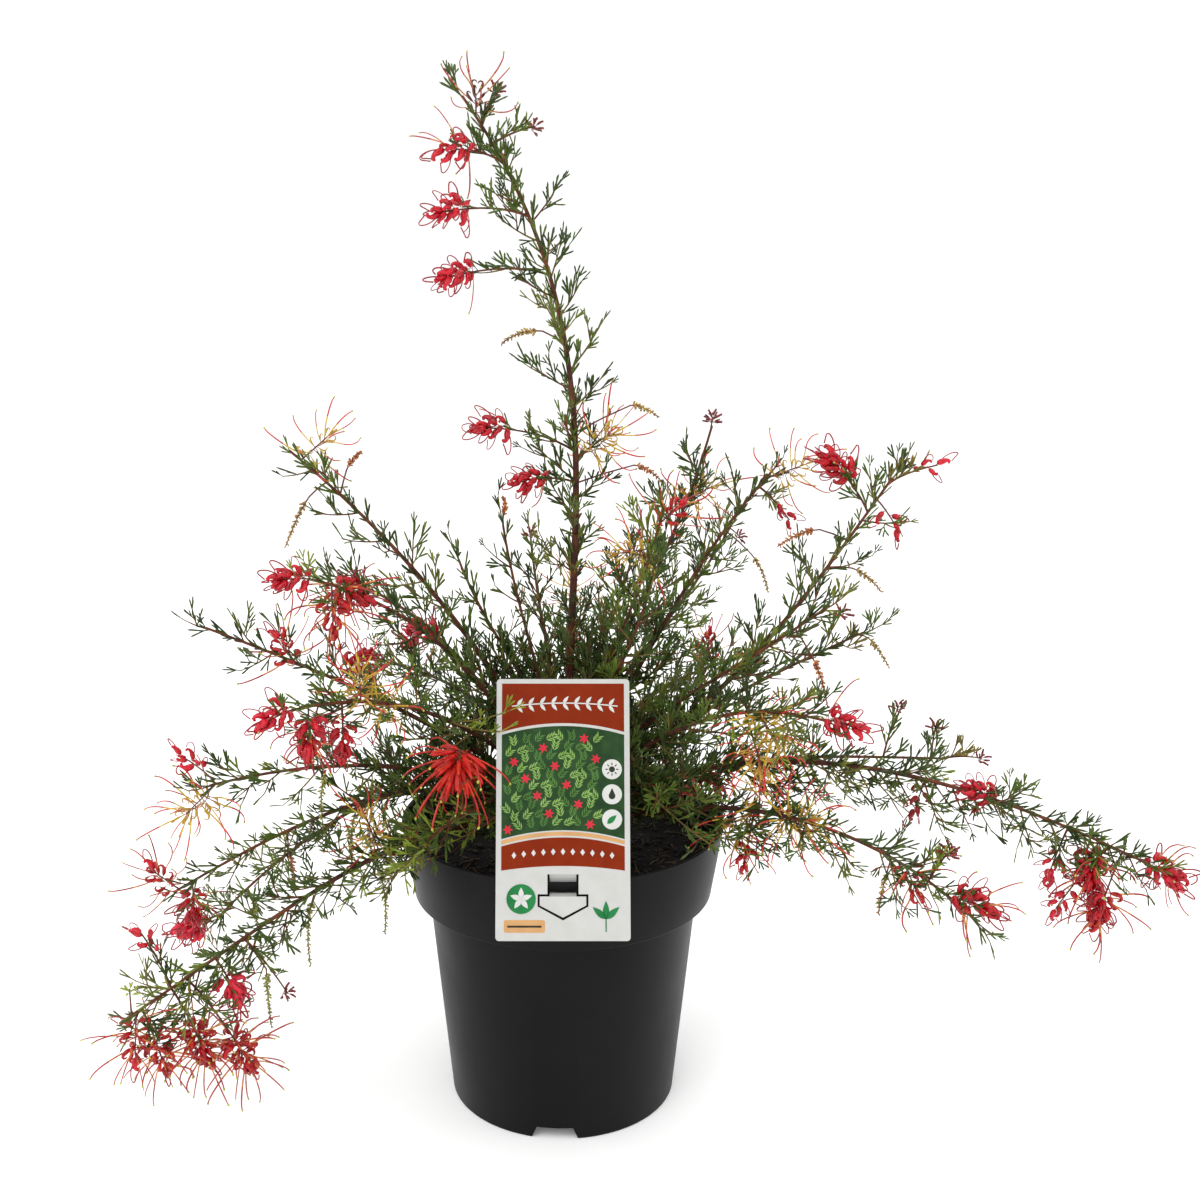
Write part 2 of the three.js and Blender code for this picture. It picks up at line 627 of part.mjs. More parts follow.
// A bloom facing away from its twig. Near the stem its rear arm is the stalk,
// and further out it has a twig of its own.
function addBloom(solid, bough, bloom, random) {
  const { form, root, seat, stalk, far } = bloomPlace(bough, bloom);
  const hasTwig = far > stalkLength;
  if (!isFree(bough, seat, form.middle) || (hasTwig && !spindleFits(bough, root, stalk, far, 2))) {
    return solid;
  }
  const face = stalk.clone().addScaledVector(upright, form.lift).normalize();
  const turn = new THREE.Quaternion().setFromUnitVectors(upright, face);
  turn.multiply(new THREE.Quaternion().setFromAxisAngle(upright, random() * Math.PI));
  const foot = root.clone().addScaledVector(stalk, -sinkShare * boughRadius(bough, bloom[1]));
  const body = spikedBody(form, (point, isArm) => {
    const isRear = isArm && point.z < -0.5;
    const way = point.clone().applyQuaternion(turn);
    const isLong = isArm && (form.detail > 0 || Math.abs(point.z) > 0.5);
    let length = isLong ? form.arm * (0.85 + 0.3 * random()) : form.middle;
    if (isRear && !hasTwig && far > form.middle) {
      point.copy(foot);
      return;
    }
    if (isRear) {
      length = form.middle;
    }
    while (length > form.middle && !spindleFits(bough, seat, way, length, 2)) {
      length -= 2;
    }
    point.copy(seat).addScaledVector(way, length);
  });
  const grown = solid.add(toSolid(body));
  return hasTwig ? grown.add(twig(root, seat, twigRadius)) : grown;
}

// The length of a side spray: short near the seat and near the tip
function sprayReach(share) {
  return sprayLength * (0.62 + 0.55 * Math.sin(Math.PI * Math.min(1, 0.15 + share * 0.8)));
}

function makeMass(bough, seed) {
  const random = makeRandom(seed);
  const from = bough.bare > 0 ? bough.bare + gap / bough.length : 0;
  const span = bough.length * (1 - from);
  const steps = Math.max(3, Math.round(span / 42));
  bough.stem = { from, steps };
  let mass = toSolid(boughTube(bough, from, 1, stemSides, steps));

  const firstSpray = Math.max(from + 7 / bough.length, firstSprayAt / bough.length);
  const count = Math.floor(((1 - firstSpray) * bough.length) / spraySpacing);
  const places = bough.blooms.map((bloom) => bloomPlace(bough, bloom));
  for (let i = 0; i <= count; i += 1) {
    const share = firstSpray + ((0.985 - firstSpray) * i) / count;
    const turn = i * goldenTurn + random() * 0.7;
    const lean = (sprayLean[0] + sprayLean[1] * random()) * degree;
    const last = i === count;
    const start = stemPoint(bough, share);
    const along = bough.line.getTangent(share);
    const side = new THREE.Vector3().crossVectors(along, upright).normalize();
    const over = new THREE.Vector3().crossVectors(side, along).normalize();
    const direction = along.clone().multiplyScalar(last ? 1 : Math.cos(lean))
      .addScaledVector(side, last ? 0 : Math.sin(lean) * Math.cos(turn))
      .addScaledVector(over, last ? 0 : Math.sin(lean) * Math.sin(turn))
      .normalize();
    let length = sprayReach(share) * (0.8 + 0.4 * random());
    while (length > shortestSpray && !spindleFits(bough, start, direction, length, sprayWidth)) {
      length -= 4;
    }
    const end = start.clone().addScaledVector(direction, length);
    segment.set(start, end);
    const meetsBloom = places.some(({ form, seat }) => {
      segment.closestPointToPoint(seat, true, nearest);
      return nearest.distanceTo(seat) < form.middle + 2.5;
    });
    if (length <= shortestSpray || meetsBloom) {
      continue;
    }
    const sunk = sinkShare * boughRadius(bough, share);
    mass = mass.add(spindle(start, direction, length, sprayWidth, sprayThickness, turn, sunk));
  }
  for (const bloom of bough.blooms) {
    mass = addBloom(mass, bough, bloom, random);
  }
  return mass;
}

addNode("pot", toGeometry(makePot()), black);
addNode("potting_mix", makeSoil(), mixBrown);
addNode("tag", toGeometry(makeTag()), cardWhite);
addNode("trunk", makeTrunk(), bark);
boughs.forEach((bough, index) => {
  if (bough.bare > 0) {
    const steps = Math.max(2, Math.round((bough.bare * bough.length) / 22));
    addNode(`bough_${bough.name}`, boughTube(bough, 0, bough.bare, boughSides, steps), twigRed);
  }
  addNode(`foliage_${bough.name}`, toGeometry(makeMass(bough, 101 + index)), leafGreen);
});
export default plant;
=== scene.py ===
# %% [markdown]
# # A potted spider net grevillea
# The shrub stands in a black nursery pot: one tall leader, a fan of wiry boughs, forked
# needle leaves and red spider blooms, with a card tag hooked over the rim. The packed
# model gives every size. This script dresses it, and writes the model's own growth rule
# again so that each twig, leaf and bloom stands where the plain solids have theirs.

# %% Load the frame
import json
import math

import bmesh
import bpy
import numpy as np
from mathutils import Matrix, Vector, noise

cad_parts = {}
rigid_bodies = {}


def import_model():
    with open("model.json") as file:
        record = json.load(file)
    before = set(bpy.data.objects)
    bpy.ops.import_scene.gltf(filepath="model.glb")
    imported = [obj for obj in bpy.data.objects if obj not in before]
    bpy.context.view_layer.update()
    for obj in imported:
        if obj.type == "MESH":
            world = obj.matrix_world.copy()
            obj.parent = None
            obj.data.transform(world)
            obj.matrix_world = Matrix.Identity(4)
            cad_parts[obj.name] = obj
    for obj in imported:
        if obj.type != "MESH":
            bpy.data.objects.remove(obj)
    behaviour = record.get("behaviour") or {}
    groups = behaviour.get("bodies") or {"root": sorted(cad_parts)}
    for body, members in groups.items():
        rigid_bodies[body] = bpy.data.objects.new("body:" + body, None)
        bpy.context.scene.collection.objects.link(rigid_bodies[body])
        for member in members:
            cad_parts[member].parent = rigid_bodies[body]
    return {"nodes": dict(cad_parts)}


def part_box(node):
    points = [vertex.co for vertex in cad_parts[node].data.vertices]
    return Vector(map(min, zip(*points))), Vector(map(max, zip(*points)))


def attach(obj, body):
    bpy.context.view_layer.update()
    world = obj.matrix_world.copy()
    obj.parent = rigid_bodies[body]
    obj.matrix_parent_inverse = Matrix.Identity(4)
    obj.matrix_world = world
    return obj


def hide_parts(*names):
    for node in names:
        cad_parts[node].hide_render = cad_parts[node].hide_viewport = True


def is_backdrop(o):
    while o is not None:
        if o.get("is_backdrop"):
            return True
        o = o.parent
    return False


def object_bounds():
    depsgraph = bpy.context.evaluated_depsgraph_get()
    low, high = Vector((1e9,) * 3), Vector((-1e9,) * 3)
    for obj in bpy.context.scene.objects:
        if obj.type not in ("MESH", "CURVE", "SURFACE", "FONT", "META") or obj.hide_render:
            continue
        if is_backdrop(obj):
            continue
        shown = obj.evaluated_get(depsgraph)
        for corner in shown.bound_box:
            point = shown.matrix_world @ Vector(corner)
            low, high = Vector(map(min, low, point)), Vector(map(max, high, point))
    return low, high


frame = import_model()
cad_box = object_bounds()
MM = 0.001
print("nodes in the frame:", len(frame["nodes"]))

# %% [markdown]
# ## Camera and light
# The camera stands where the photograph was taken from: nearly a metre in front of the
# pot, a little below the top of the shrub and looking slightly down. The picture's
# middle lies a few hundredths to the right of the pot, and a small lens shift gives that
# without turning the upright edges. A white world, a key light in front, two broad soft
# lights at the sides and one from above give the flat studio light of a plant catalogue.

# %% Camera
camera_back = 896.3 * MM
camera_height = 545.4 * MM
camera_pitch = 0.247
photo_side_px = 1200
focal_px = 1539.3
pot_middle_px = 563

camera_data = bpy.data.cameras.new("catalogue_camera")
camera_data.sensor_width = 36
camera_data.lens = focal_px / photo_side_px * camera_data.sensor_width
camera_data.shift_x = (photo_side_px / 2 - pot_middle_px) / photo_side_px
camera_data.clip_end = 20
camera = bpy.data.objects.new("catalogue_camera", camera_data)
camera.location = (0, -camera_back, camera_height)
camera.rotation_euler = (math.pi / 2 - camera_pitch, 0, 0)
bpy.context.scene.collection.objects.link(camera)
bpy.context.scene.camera = camera
print("lens in millimetres:", round(camera_data.lens, 2))

# %% Light
world = bpy.data.worlds.new("white_studio")
world.use_nodes = True
background = world.node_tree.nodes["Background"]
background.inputs["Color"].default_value = (1, 1, 1, 1)
background.inputs["Strength"].default_value = 1.08
bpy.context.scene.world = world
bpy.context.scene.view_settings.view_transform = "Standard"
light_target = Vector((0, 0, 0.3))
# name, place, size and power of each light
soft_lights = [("key_light", (-0.7, -1.5, 1.9), 1.2, 18), ("left_light", (-1.9, -0.2, 0.9), 1.0, 6),
               ("right_light", (1.9, -0.3, 0.9), 1.0, 6), ("top_light", (0.3, 0.6, 2.2), 1.0, 8)]


def soft_light(name, place, size, power):
    """A square light that looks at the middle of the shrub."""
    data = bpy.data.lights.new(name, "AREA")
    data.shape = "SQUARE"
    data.size = size
    data.energy = power
    lamp = bpy.data.objects.new(name, data)
    lamp.location = place
    lamp.rotation_euler = (light_target - Vector(place)).to_track_quat("-Z", "Y").to_euler()
    bpy.context.scene.collection.objects.link(lamp)


for row in soft_lights:
    soft_light(*row)
print("soft lights:", len(soft_lights))


# %% [markdown]
# ## Finishes
# Nothing on the plant is one flat colour: leaves go from grey-green to bronze, bark is
# streaked and the pot is faintly scuffed. A shader group mixes a light and a dark colour
# by soft noise, and a second one gives fine height for a bump. Both read object
# coordinates, so the pattern stays with the piece. Every finish places them with its own
# values, and keeps its own shader.

# %% Node makers
def new_tree(kind, name, inputs, outputs):
    """A node tree, the sockets that it is given and the ones that it fills."""
    tree = bpy.data.node_groups.new(name, kind)
    for in_out, sockets in (("INPUT", inputs), ("OUTPUT", outputs)):
        for label, socket_kind in sockets.items():
            tree.interface.new_socket(label, in_out=in_out, socket_type=f"NodeSocket{socket_kind}")
    given = tree.nodes.new("NodeGroupInput")
    return tree, given.outputs, tree.nodes.new("NodeGroupOutput").inputs


def add_node(tree, kind, inputs=None, **settings):
    """A node with its settings. Each input is a value, or the socket that feeds it."""
    node = tree.nodes.new(kind)
    for name, value in settings.items():
        setattr(node, name, value)
    for label, value in (inputs or {}).items():
        if isinstance(value, bpy.types.NodeSocket):
            tree.links.new(value, node.inputs[label])
        else:
            node.inputs[label].default_value = value
    return node


# %% Shader groups
noise_middle = 0.5


def make_mottle():
    """Two colours mixed by soft noise, and the mask that mixes them."""
    tree, given, result = new_tree(
        "ShaderNodeTree", "mottle",
        {"Light": "Color", "Dark": "Color", "Scale": "Float", "Softness": "Float"},
        {"Colour": "Color", "Mask": "Float"})
    place = add_node(tree, "ShaderNodeTexCoord")
    patches = add_node(tree, "ShaderNodeTexNoise", {
        "Vector": place.outputs["Object"], "Scale": given["Scale"], "Detail": 4})
    low = add_node(tree, "ShaderNodeMath", {0: noise_middle, 1: given["Softness"]},
                   operation="SUBTRACT")
    high = add_node(tree, "ShaderNodeMath", {0: noise_middle, 1: given["Softness"]},
                    operation="ADD")
    spread = add_node(tree, "ShaderNodeMapRange", {
        "Value": patches.outputs["Fac"], "From Min": low.outputs[0],
        "From Max": high.outputs[0]}, interpolation_type="SMOOTHSTEP")
    # sockets 6 and 7, and 2 of the outputs, are the ones for colours
    blend = add_node(tree, "ShaderNodeMix", {
        "Factor": spread.outputs["Result"], 6: given["Dark"], 7: given["Light"]},
        data_type="RGBA")
    tree.links.new(blend.outputs[2], result["Colour"])
    tree.links.new(spread.outputs["Result"], result["Mask"])
    return tree


def make_relief():
    """Fine height, as long streaks along Z where Stretch is under one."""
    tree, given, result = new_tree("ShaderNodeTree", "relief",
                                   {"Scale": "Float", "Stretch": "Float"}, {"Height": "Float"})
    place = add_node(tree, "ShaderNodeTexCoord")
    squeeze = add_node(tree, "ShaderNodeCombineXYZ", {"X": 1, "Y": 1, "Z": given["Stretch"]})
    scaled = add_node(tree, "ShaderNodeVectorMath", {
        0: place.outputs["Object"], 1: squeeze.outputs["Vector"]}, operation="MULTIPLY")
    grains = add_node(tree, "ShaderNodeTexNoise", {
        "Vector": scaled.outputs["Vector"], "Scale": given["Scale"], "Detail": 3})
    tree.links.new(grains.outputs["Fac"], result["Height"])
    return tree


mottle = make_mottle()
relief = make_relief()
print("shader groups:", mottle.name, relief.name)


# %% Finish maker
def linear(red, green, blue):
    """A colour as read off a screen, 0 to 255, as the linear colour that Blender uses."""
    values = []
    for level in (red, green, blue):
        level /= 255
        values.append(level / 12.92 if level <= 0.04045 else ((level + 0.055) / 1.055) ** 2.4)
    return (*values, 1)


bump_distance = 0.2 * MM


def finish(name, light, dark, patch, roughness, softness=0.2, grain=900, depth=0.2, stretch=1.0,
           spread=0.12, **fixed):
    """A material of two mottled colours, uneven roughness and a fine bump."""
    material = bpy.data.materials.new(name)
    material.use_nodes = True
    tree = material.node_tree
    shader = tree.nodes["Principled BSDF"]
    colours = add_node(tree, "ShaderNodeGroup", {
        "Light": linear(*light), "Dark": linear(*dark), "Scale": patch, "Softness": softness},
        node_tree=mottle)
    gloss = add_node(tree, "ShaderNodeMapRange", {
        "Value": colours.outputs["Mask"], "To Min": roughness - spread / 2,
        "To Max": roughness + spread / 2})
    grains = add_node(tree, "ShaderNodeGroup", {"Scale": grain, "Stretch": stretch},
                      node_tree=relief)
    bump = add_node(tree, "ShaderNodeBump", {
        "Strength": depth, "Distance": bump_distance, "Height": grains.outputs["Height"]})
    tree.links.new(colours.outputs["Colour"], shader.inputs["Base Color"])
    tree.links.new(gloss.outputs["Result"], shader.inputs["Roughness"])
    tree.links.new(bump.outputs["Normal"], shader.inputs["Normal"])
    for socket, value in fixed.items():
        shader.inputs[socket.replace("_", " ")].default_value = value
    return material


# %% [markdown]
# ## Pieces from rings and outlines
# A few small makers cover the hard pieces and the small shapes: a ring of points carried
# along a path, a profile turned about the pot's axis, and an outline with its copy. Sizes
# are in millimetres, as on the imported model, and become metres where a mesh is made.

# %% Mesh makers
def add_object(name, mesh, material=None):
    """An object at the origin, linked to the scene."""
    body = bpy.data.objects.new(name, mesh)
    bpy.context.scene.collection.objects.link(body)
    if material is not None:
        mesh.materials.append(material)
    return body


def mesh_of(name, points, faces, smooth=True):
    """A mesh in metres from points in millimetres."""
    mesh = bpy.data.meshes.new(name)
    mesh.from_pydata([tuple(p) for p in np.asarray(points, float) * MM], [], faces)
    mesh.validate()
    if smooth:
        mesh.shade_smooth()
    return mesh


def ring_faces(rings, sides):
    """The walls between rings of points, and a cap at each end."""
    faces = []
    for i in range(rings - 1):
        for k in range(sides):
            after = (k + 1) % sides
            faces.append((i * sides + k, i * sides + after,
                          (i + 1) * sides + after, (i + 1) * sides + k))
    last = (rings - 1) * sides
    return faces + [tuple(reversed(range(sides))), tuple(range(last, last + sides))]


def slab_faces(count):
    """The faces of a slab whose points are an outline and then its copy."""
    faces = [tuple(range(count)), tuple(reversed(range(count, 2 * count)))]
    for i in range(count):
        after = (i + 1) % count
        faces.append((after, i, count + i, count + after))
    return faces


def joined(parts):
    """Several (points, faces) parts as one."""
    points, faces = [], []
    for part_points, part_faces in parts:
        first = len(points)
        points.extend(part_points)
        faces.extend([tuple(first + i for i in face) for face in part_faces])
    return points, faces


def tube(path, radii, sides):
    """A closed tube along a path. Its rings turn with the path and don't twist."""
    path = [Vector(p) for p in path]
    tangents = []
    for i in range(len(path)):
        ahead = path[min(i + 1, len(path) - 1)] - path[max(i - 1, 0)]
        tangents.append(ahead.normalized())
    across = tangents[0].orthogonal().normalized()
    points = []
    for i, (centre, radius) in enumerate(zip(path, radii)):
        if i > 0:
            across.rotate(tangents[i - 1].rotation_difference(tangents[i]))
        beside = tangents[i].cross(across)
        for k in range(sides):
            angle = 2 * math.pi * k / sides
            points.append(centre + radius * (math.cos(angle) * across + math.sin(angle) * beside))
    return points, ring_faces(len(path), sides)


def turned(profile, sides):
    """A closed profile of (radius, height) turned about Z, outwards when it runs up the outside."""
    points = []
    for radius, height in profile:
        for k in range(sides):
            angle = 2 * math.pi * k / sides
            points.append((radius * math.cos(angle), radius * math.sin(angle), height))
    return points, ring_faces(len(profile), sides)


def evenly(steps):
    """The shares from 0 to 1 in even steps."""
    return [i / steps for i in range(steps + 1)]


def bent(start, corner, end, t):
    """A point on the curve from start to end that leans towards the corner."""
    return (1 - t) ** 2 * start + 2 * t * (1 - t) * corner + t * t * end


longest_cut = 0.45


def rounded(profile, radius, steps=4):
    """The profile with its corners rounded. A corner is (r, z, share of the radius)."""
    result = []
    for i, (x, z, share) in enumerate(profile):
        if share == 0 or i in (0, len(profile) - 1):
            result.append((x, z))
            continue
        corner = Vector((x, z))
        before = Vector(profile[i - 1][:2]) - corner
        after = Vector(profile[i + 1][:2]) - corner
        cut = min(radius * share, longest_cut * before.length, longest_cut * after.length)
        start = corner + before.normalized() * cut
        end = corner + after.normalized() * cut
        result.extend(tuple(bent(start, corner, end, t)) for t in evenly(steps))
    return result


def evaluated_mesh(body):
    """The plain mesh of an object with its modifiers applied."""
    depsgraph = bpy.context.evaluated_depsgraph_get()
    return bpy.data.meshes.new_from_object(body.evaluated_get(depsgraph), depsgraph=depsgraph)


# %% [markdown]
# ## Geometry Nodes trees
# Twigs, leaves and blossom are the same few shapes many hundreds of times. One tree turns
# lines with a girth at each point into tubes, with a noise relief for bark. Another puts a
# shape on each point of a cloud, with the turn, size and kind that the point carries. Both
# end in real faces, and the result is kept as a plain mesh.

# %% Limb tree and scatter tree
def named_value(tree, label, kind):
    """The socket that carries a value kept at each point."""
    reader = add_node(tree, "GeometryNodeInputNamedAttribute", {"Name": label}, data_type=kind)
    return reader.outputs["Attribute"]


def end_tree(tree, given, result, geometry):
    """Realize the instances, set the shading and the material, and close the tree."""
    real = add_node(tree, "GeometryNodeRealizeInstances", {"Geometry": geometry})
    shade = add_node(tree, "GeometryNodeSetShadeSmooth", {
        "Geometry": real.outputs["Geometry"], "Shade Smooth": given["Smooth"]})
    paint = add_node(tree, "GeometryNodeSetMaterial", {
        "Geometry": shade.outputs["Geometry"], "Material": given["Material"]})
    tree.links.new(paint.outputs["Geometry"], result["Geometry"])
    return tree


def make_limb_tree():
    """Lines in, tubes out, pushed in and out by noise."""
    tree, given, result = new_tree(
        "GeometryNodeTree", "limbs",
        {"Geometry": "Geometry", "Sides": "Int", "Relief": "Float", "Relief Scale": "Float",
         "Smooth": "Bool", "Material": "Material"}, {"Geometry": "Geometry"})
    lines = add_node(tree, "GeometryNodeMeshToCurve", {"Mesh": given["Geometry"]})
    ring = add_node(tree, "GeometryNodeCurvePrimitiveCircle", {
        "Radius": 1, "Resolution": given["Sides"]})
    skin = add_node(tree, "GeometryNodeCurveToMesh", {
        "Curve": lines.outputs["Curve"], "Profile Curve": ring.outputs["Curve"],
        "Scale": named_value(tree, "girth", "FLOAT"), "Fill Caps": True})
    grains = add_node(tree, "ShaderNodeTexNoise", {"Detail": 3, "Scale": given["Relief Scale"]})
    middle = add_node(tree, "ShaderNodeMath", {0: grains.outputs["Fac"], 1: noise_middle},
                      operation="SUBTRACT")
    height = add_node(tree, "ShaderNodeMath", {0: middle.outputs[0], 1: given["Relief"]},
                      operation="MULTIPLY")
    outward = add_node(tree, "GeometryNodeInputNormal")
    move = add_node(tree, "ShaderNodeVectorMath", {
        0: outward.outputs["Normal"], "Scale": height.outputs[0]}, operation="SCALE")
    raised = add_node(tree, "GeometryNodeSetPosition", {
        "Geometry": skin.outputs["Mesh"], "Offset": move.outputs["Vector"]})
    return end_tree(tree, given, result, raised.outputs["Geometry"])


def make_scatter_tree():
    """Points in, a shape on each of them out."""
    tree, given, result = new_tree(
        "GeometryNodeTree", "scatter",
        {"Geometry": "Geometry", "Shapes": "Collection", "Smooth": "Bool",
         "Material": "Material"}, {"Geometry": "Geometry"})
    shapes = add_node(tree, "GeometryNodeCollectionInfo", {
        "Collection": given["Shapes"], "Separate Children": True, "Reset Children": True})
    place = add_node(tree, "GeometryNodeInstanceOnPoints", {
        "Points": given["Geometry"], "Instance": shapes.outputs["Instances"],
        "Pick Instance": True, "Instance Index": named_value(tree, "kind", "INT"),
        "Rotation": named_value(tree, "turn", "QUATERNION"),
        "Scale": named_value(tree, "size", "FLOAT")})
    return end_tree(tree, given, result, place.outputs["Instances"])


limb_tree = make_limb_tree()
scatter_tree = make_scatter_tree()
print("trees:", limb_tree.name, scatter_tree.name)


def run_tree(name, source, tree, values):
    """The plain mesh that a tree makes of a source object, which is then removed."""
    modifier = source.modifiers.new(tree.name, "NODES")
    modifier.node_group = tree
    for item in tree.interface.items_tree:
        if item.in_out == "INPUT" and item.name in values:
            modifier[item.identifier] = values[item.name]
    mesh = evaluated_mesh(source)
    mesh.name = name
    left = source.data
    bpy.data.objects.remove(source)
    bpy.data.meshes.remove(left)
    for label in ("girth", "turn", "size", "kind"):
        if label in mesh.attributes:
            mesh.attributes.remove(mesh.attributes[label])
    return mesh


# %% Lines and clouds as sources
dressed = []


def dress(name, mesh, nodes=()):
    """Link a finished mesh as a piece that rides on the body and stands for its nodes."""
    piece = add_object(name, mesh)
    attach(piece, "root")
    if nodes:
        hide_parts(*nodes)
    mesh.calc_loop_triangles()
    dressed.append((name, len(mesh.loop_triangles)))
    print(name, "triangles:", len(mesh.loop_triangles))


def limbs_from(name, lines, material, sides, relief=0.0, relief_scale=400.0):
    """Tubes along lines, each a list of points and a list of girths in millimetres."""
    points, girths, edges = [], [], []
    for path, radii in lines:
        first = len(points)
        points.extend(tuple(np.asarray(p, float) * MM) for p in path)
        girths.extend(radius * MM for radius in radii)
        edges.extend((first + i, first + i + 1) for i in range(len(path) - 1))
    source = bpy.data.meshes.new(name)
    source.from_pydata(points, edges, [])
    source.attributes.new("girth", "FLOAT", "POINT").data.foreach_set("value", girths)
    return run_tree(name, add_object(name, source), limb_tree, {
        "Sides": sides, "Relief": relief * MM, "Relief Scale": relief_scale,
        "Smooth": True, "Material": material})


def shapes_from(name, forms):
    """A collection of small shapes to scatter, from (points, faces) in millimetres."""
    shapes = bpy.data.collections.new(name)
    for i, (points, faces) in enumerate(forms):
        shape = bpy.data.objects.new(f"{name}_{i}", mesh_of(f"{name}_{i}", points, faces, False))
        shapes.objects.link(shape)
    return shapes


def cloud(name, spots, shapes, material, smooth=True):
    """One shape on each spot: (place, way it points, way it faces, size, kind)."""
    places, turns, sizes, kinds = [], [], [], []
    for place, way, face, size, kind in spots:
        along = Vector(way).normalized()
        across = Vector(face).cross(along)
        if across.length < 1e-6:
            across = along.orthogonal()
        across.normalize()
        basis = Matrix((across, along.cross(across), along)).transposed()
        turns.extend(basis.to_quaternion())
        places.append(tuple(np.asarray(place, float) * MM))
        sizes.append(size)
        kinds.append(kind)
    source = bpy.data.meshes.new(name)
    source.from_pydata(places, [], [])
    source.attributes.new("turn", "QUATERNION", "POINT").data.foreach_set("value", turns)
    source.attributes.new("size", "FLOAT", "POINT").data.foreach_set("value", sizes)
    source.attributes.new("kind", "INT", "POINT").data.foreach_set("value", kinds)
    return run_tree(name, add_object(name, source), scatter_tree, {
        "Shapes": shapes, "Smooth": smooth, "Material": material})


# %% [markdown]
# ## The pot
# The pot is an injection-moulded nursery pot: a tapering body, a wide straight collar that
# the hand grips, and a foot ring with notches for drainage. It is turned from one profile
# with small rounded corners, and the notches and the tag's slot are cut out of it. The
# plastic is charcoal, matt, and a little scuffed.

# %% Pot
pot_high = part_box("pot")[1]
pot_height = pot_high.z / MM
rim_radius = pot_high.x / MM
collar_height = 46
collar_foot_radius = 92.7
body_top_radius = 83.9
foot_radius = 70.9
pot_wall = 1.9
pot_floor_top = 10
pot_floor_under = 8
pot_floor_radius = 70
pad_radius = 22
notch_foot_width = 29
notch_top_width = 22
notch_height = 7.8
notch_depth = 8
notch_turns = (266, 26, 146)
slot_width = 20
slot_depth = 7
slot_bottom = 168
slot_top = 175.4
pot_sides = 160
pot_corner = 0.9
pole_radius = 0.01
collar_foot = pot_height - collar_height
print("pot height and rim radius:", round(pot_height, 1), round(rim_radius, 1))


def cutter(name, outline, depth, place):
    """A block to cut with: an outline in X and Z, pushed along Y by a depth on both sides."""
    points = [(x, y, z) for y in (-depth, depth) for x, z in outline]
    block = add_object(name, mesh_of(name, points, slab_faces(len(outline)), False))
    block.data.transform(place)
    return block


def make_pot():
    """The turned shell, with its notches and the tag's slot cut out."""
    profile = rounded([
        (pole_radius, 0, 0),
        (pad_radius, 0, 1),
        (pad_radius, pot_floor_under, 1),
        (foot_radius - pot_wall, pot_floor_under, 1),
        (foot_radius - pot_wall, 0, 0.6),
        (foot_radius, 0, 1),
        (body_top_radius, collar_foot, 1),
        (collar_foot_radius, collar_foot, 1),
        (rim_radius, pot_height, 1),
        (rim_radius - pot_wall, pot_height, 1),
        (collar_foot_radius - pot_wall, collar_foot + pot_wall, 1),
        (body_top_radius - pot_wall, collar_foot + pot_wall, 1),
        (pot_floor_radius, pot_floor_top, 1),
        (pole_radius, pot_floor_top, 0),
    ], pot_corner)
    mesh = mesh_of("nursery_pot", *turned(profile, pot_sides))
    pot = add_object("nursery_pot_blank", mesh)
    cutters = []
    half_foot = notch_foot_width / 2
    half_top = notch_top_width / 2
    notch = [(-half_foot, -1), (half_foot, -1), (half_top, notch_height), (-half_top, notch_height)]
    for i, turn in enumerate(notch_turns):
        spin = Matrix.Rotation(math.radians(turn + 90), 4, "Z")
        place = spin @ Matrix.Translation((0, -foot_radius * MM, 0))
        cutters.append(cutter(f"notch_{i}", notch, notch_depth, place))
    half_slot = slot_width / 2
    slot = [(-half_slot, slot_bottom), (half_slot, slot_bottom),
            (half_slot, slot_top), (-half_slot, slot_top)]
    place = Matrix.Translation((0, -rim_radius * MM, 0))
    cutters.append(cutter("tag_slot", slot, slot_depth, place))
    for block in cutters:
        cut = pot.modifiers.new(block.name, "BOOLEAN")
        cut.operation = "DIFFERENCE"
        cut.solver = "EXACT"
        cut.object = block
    result = evaluated_mesh(pot)
    for block in cutters + [pot]:
        bpy.data.objects.remove(block)
    result.name = "nursery_pot"
    result.shade_smooth()
    result.set_sharp_from_angle(angle=math.radians(35))
    return result


pot_plastic = finish("pot_plastic", (15, 15, 17), (9, 9, 10), 14, 0.42, softness=0.25,
                     grain=1500, depth=0.25, Specular_IOR_Level=0.1)
pot_mesh = make_pot()
pot_mesh.materials.append(pot_plastic)
dress("nursery_pot", pot_mesh, ["pot"])

# %% [markdown]
# ## The potting mix
# The pot is filled to a good finger's width under the rim with dark composted bark. Its
# top is uneven, and chips of bark and bits of fallen needles lie on it. The bed is turned
# like the pot and its top raised by noise. The chips and bits are small shapes set on that
# surface.

# %% Potting mix
soil_height = 158
soil_flat = 20
soil_edge_drop = 2
gap = 0.35
wall_slope = (rim_radius - collar_foot_radius) / collar_height
edge_height = soil_height - soil_edge_drop
edge_radius = (collar_foot_radius - pot_wall
               + wall_slope * (edge_height - collar_foot - pot_wall))
bed_sides = 120
bed_rings = 34
bed_sink = 0.6
bed_edge_gap = 0.2
# height, width and seed of the clods, crumbs and specks
clod_sizes = ((2.4, 19, 3), (1.6, 6, 7), (0.7, 2.4, 11))
calm_radius = 14


def bed_height(x, y):
    """The height of the mix at a place: a low crown with clods of three sizes."""
    away = math.hypot(x, y)
    crown = soil_height - soil_edge_drop * max(0, away - soil_flat) / (edge_radius - soil_flat)
    clods = sum(height * noise.noise(Vector((x / width, y / width, seed)))
                for height, width, seed in clod_sizes)
    return crown + min(1, away / calm_radius) * clods - bed_sink


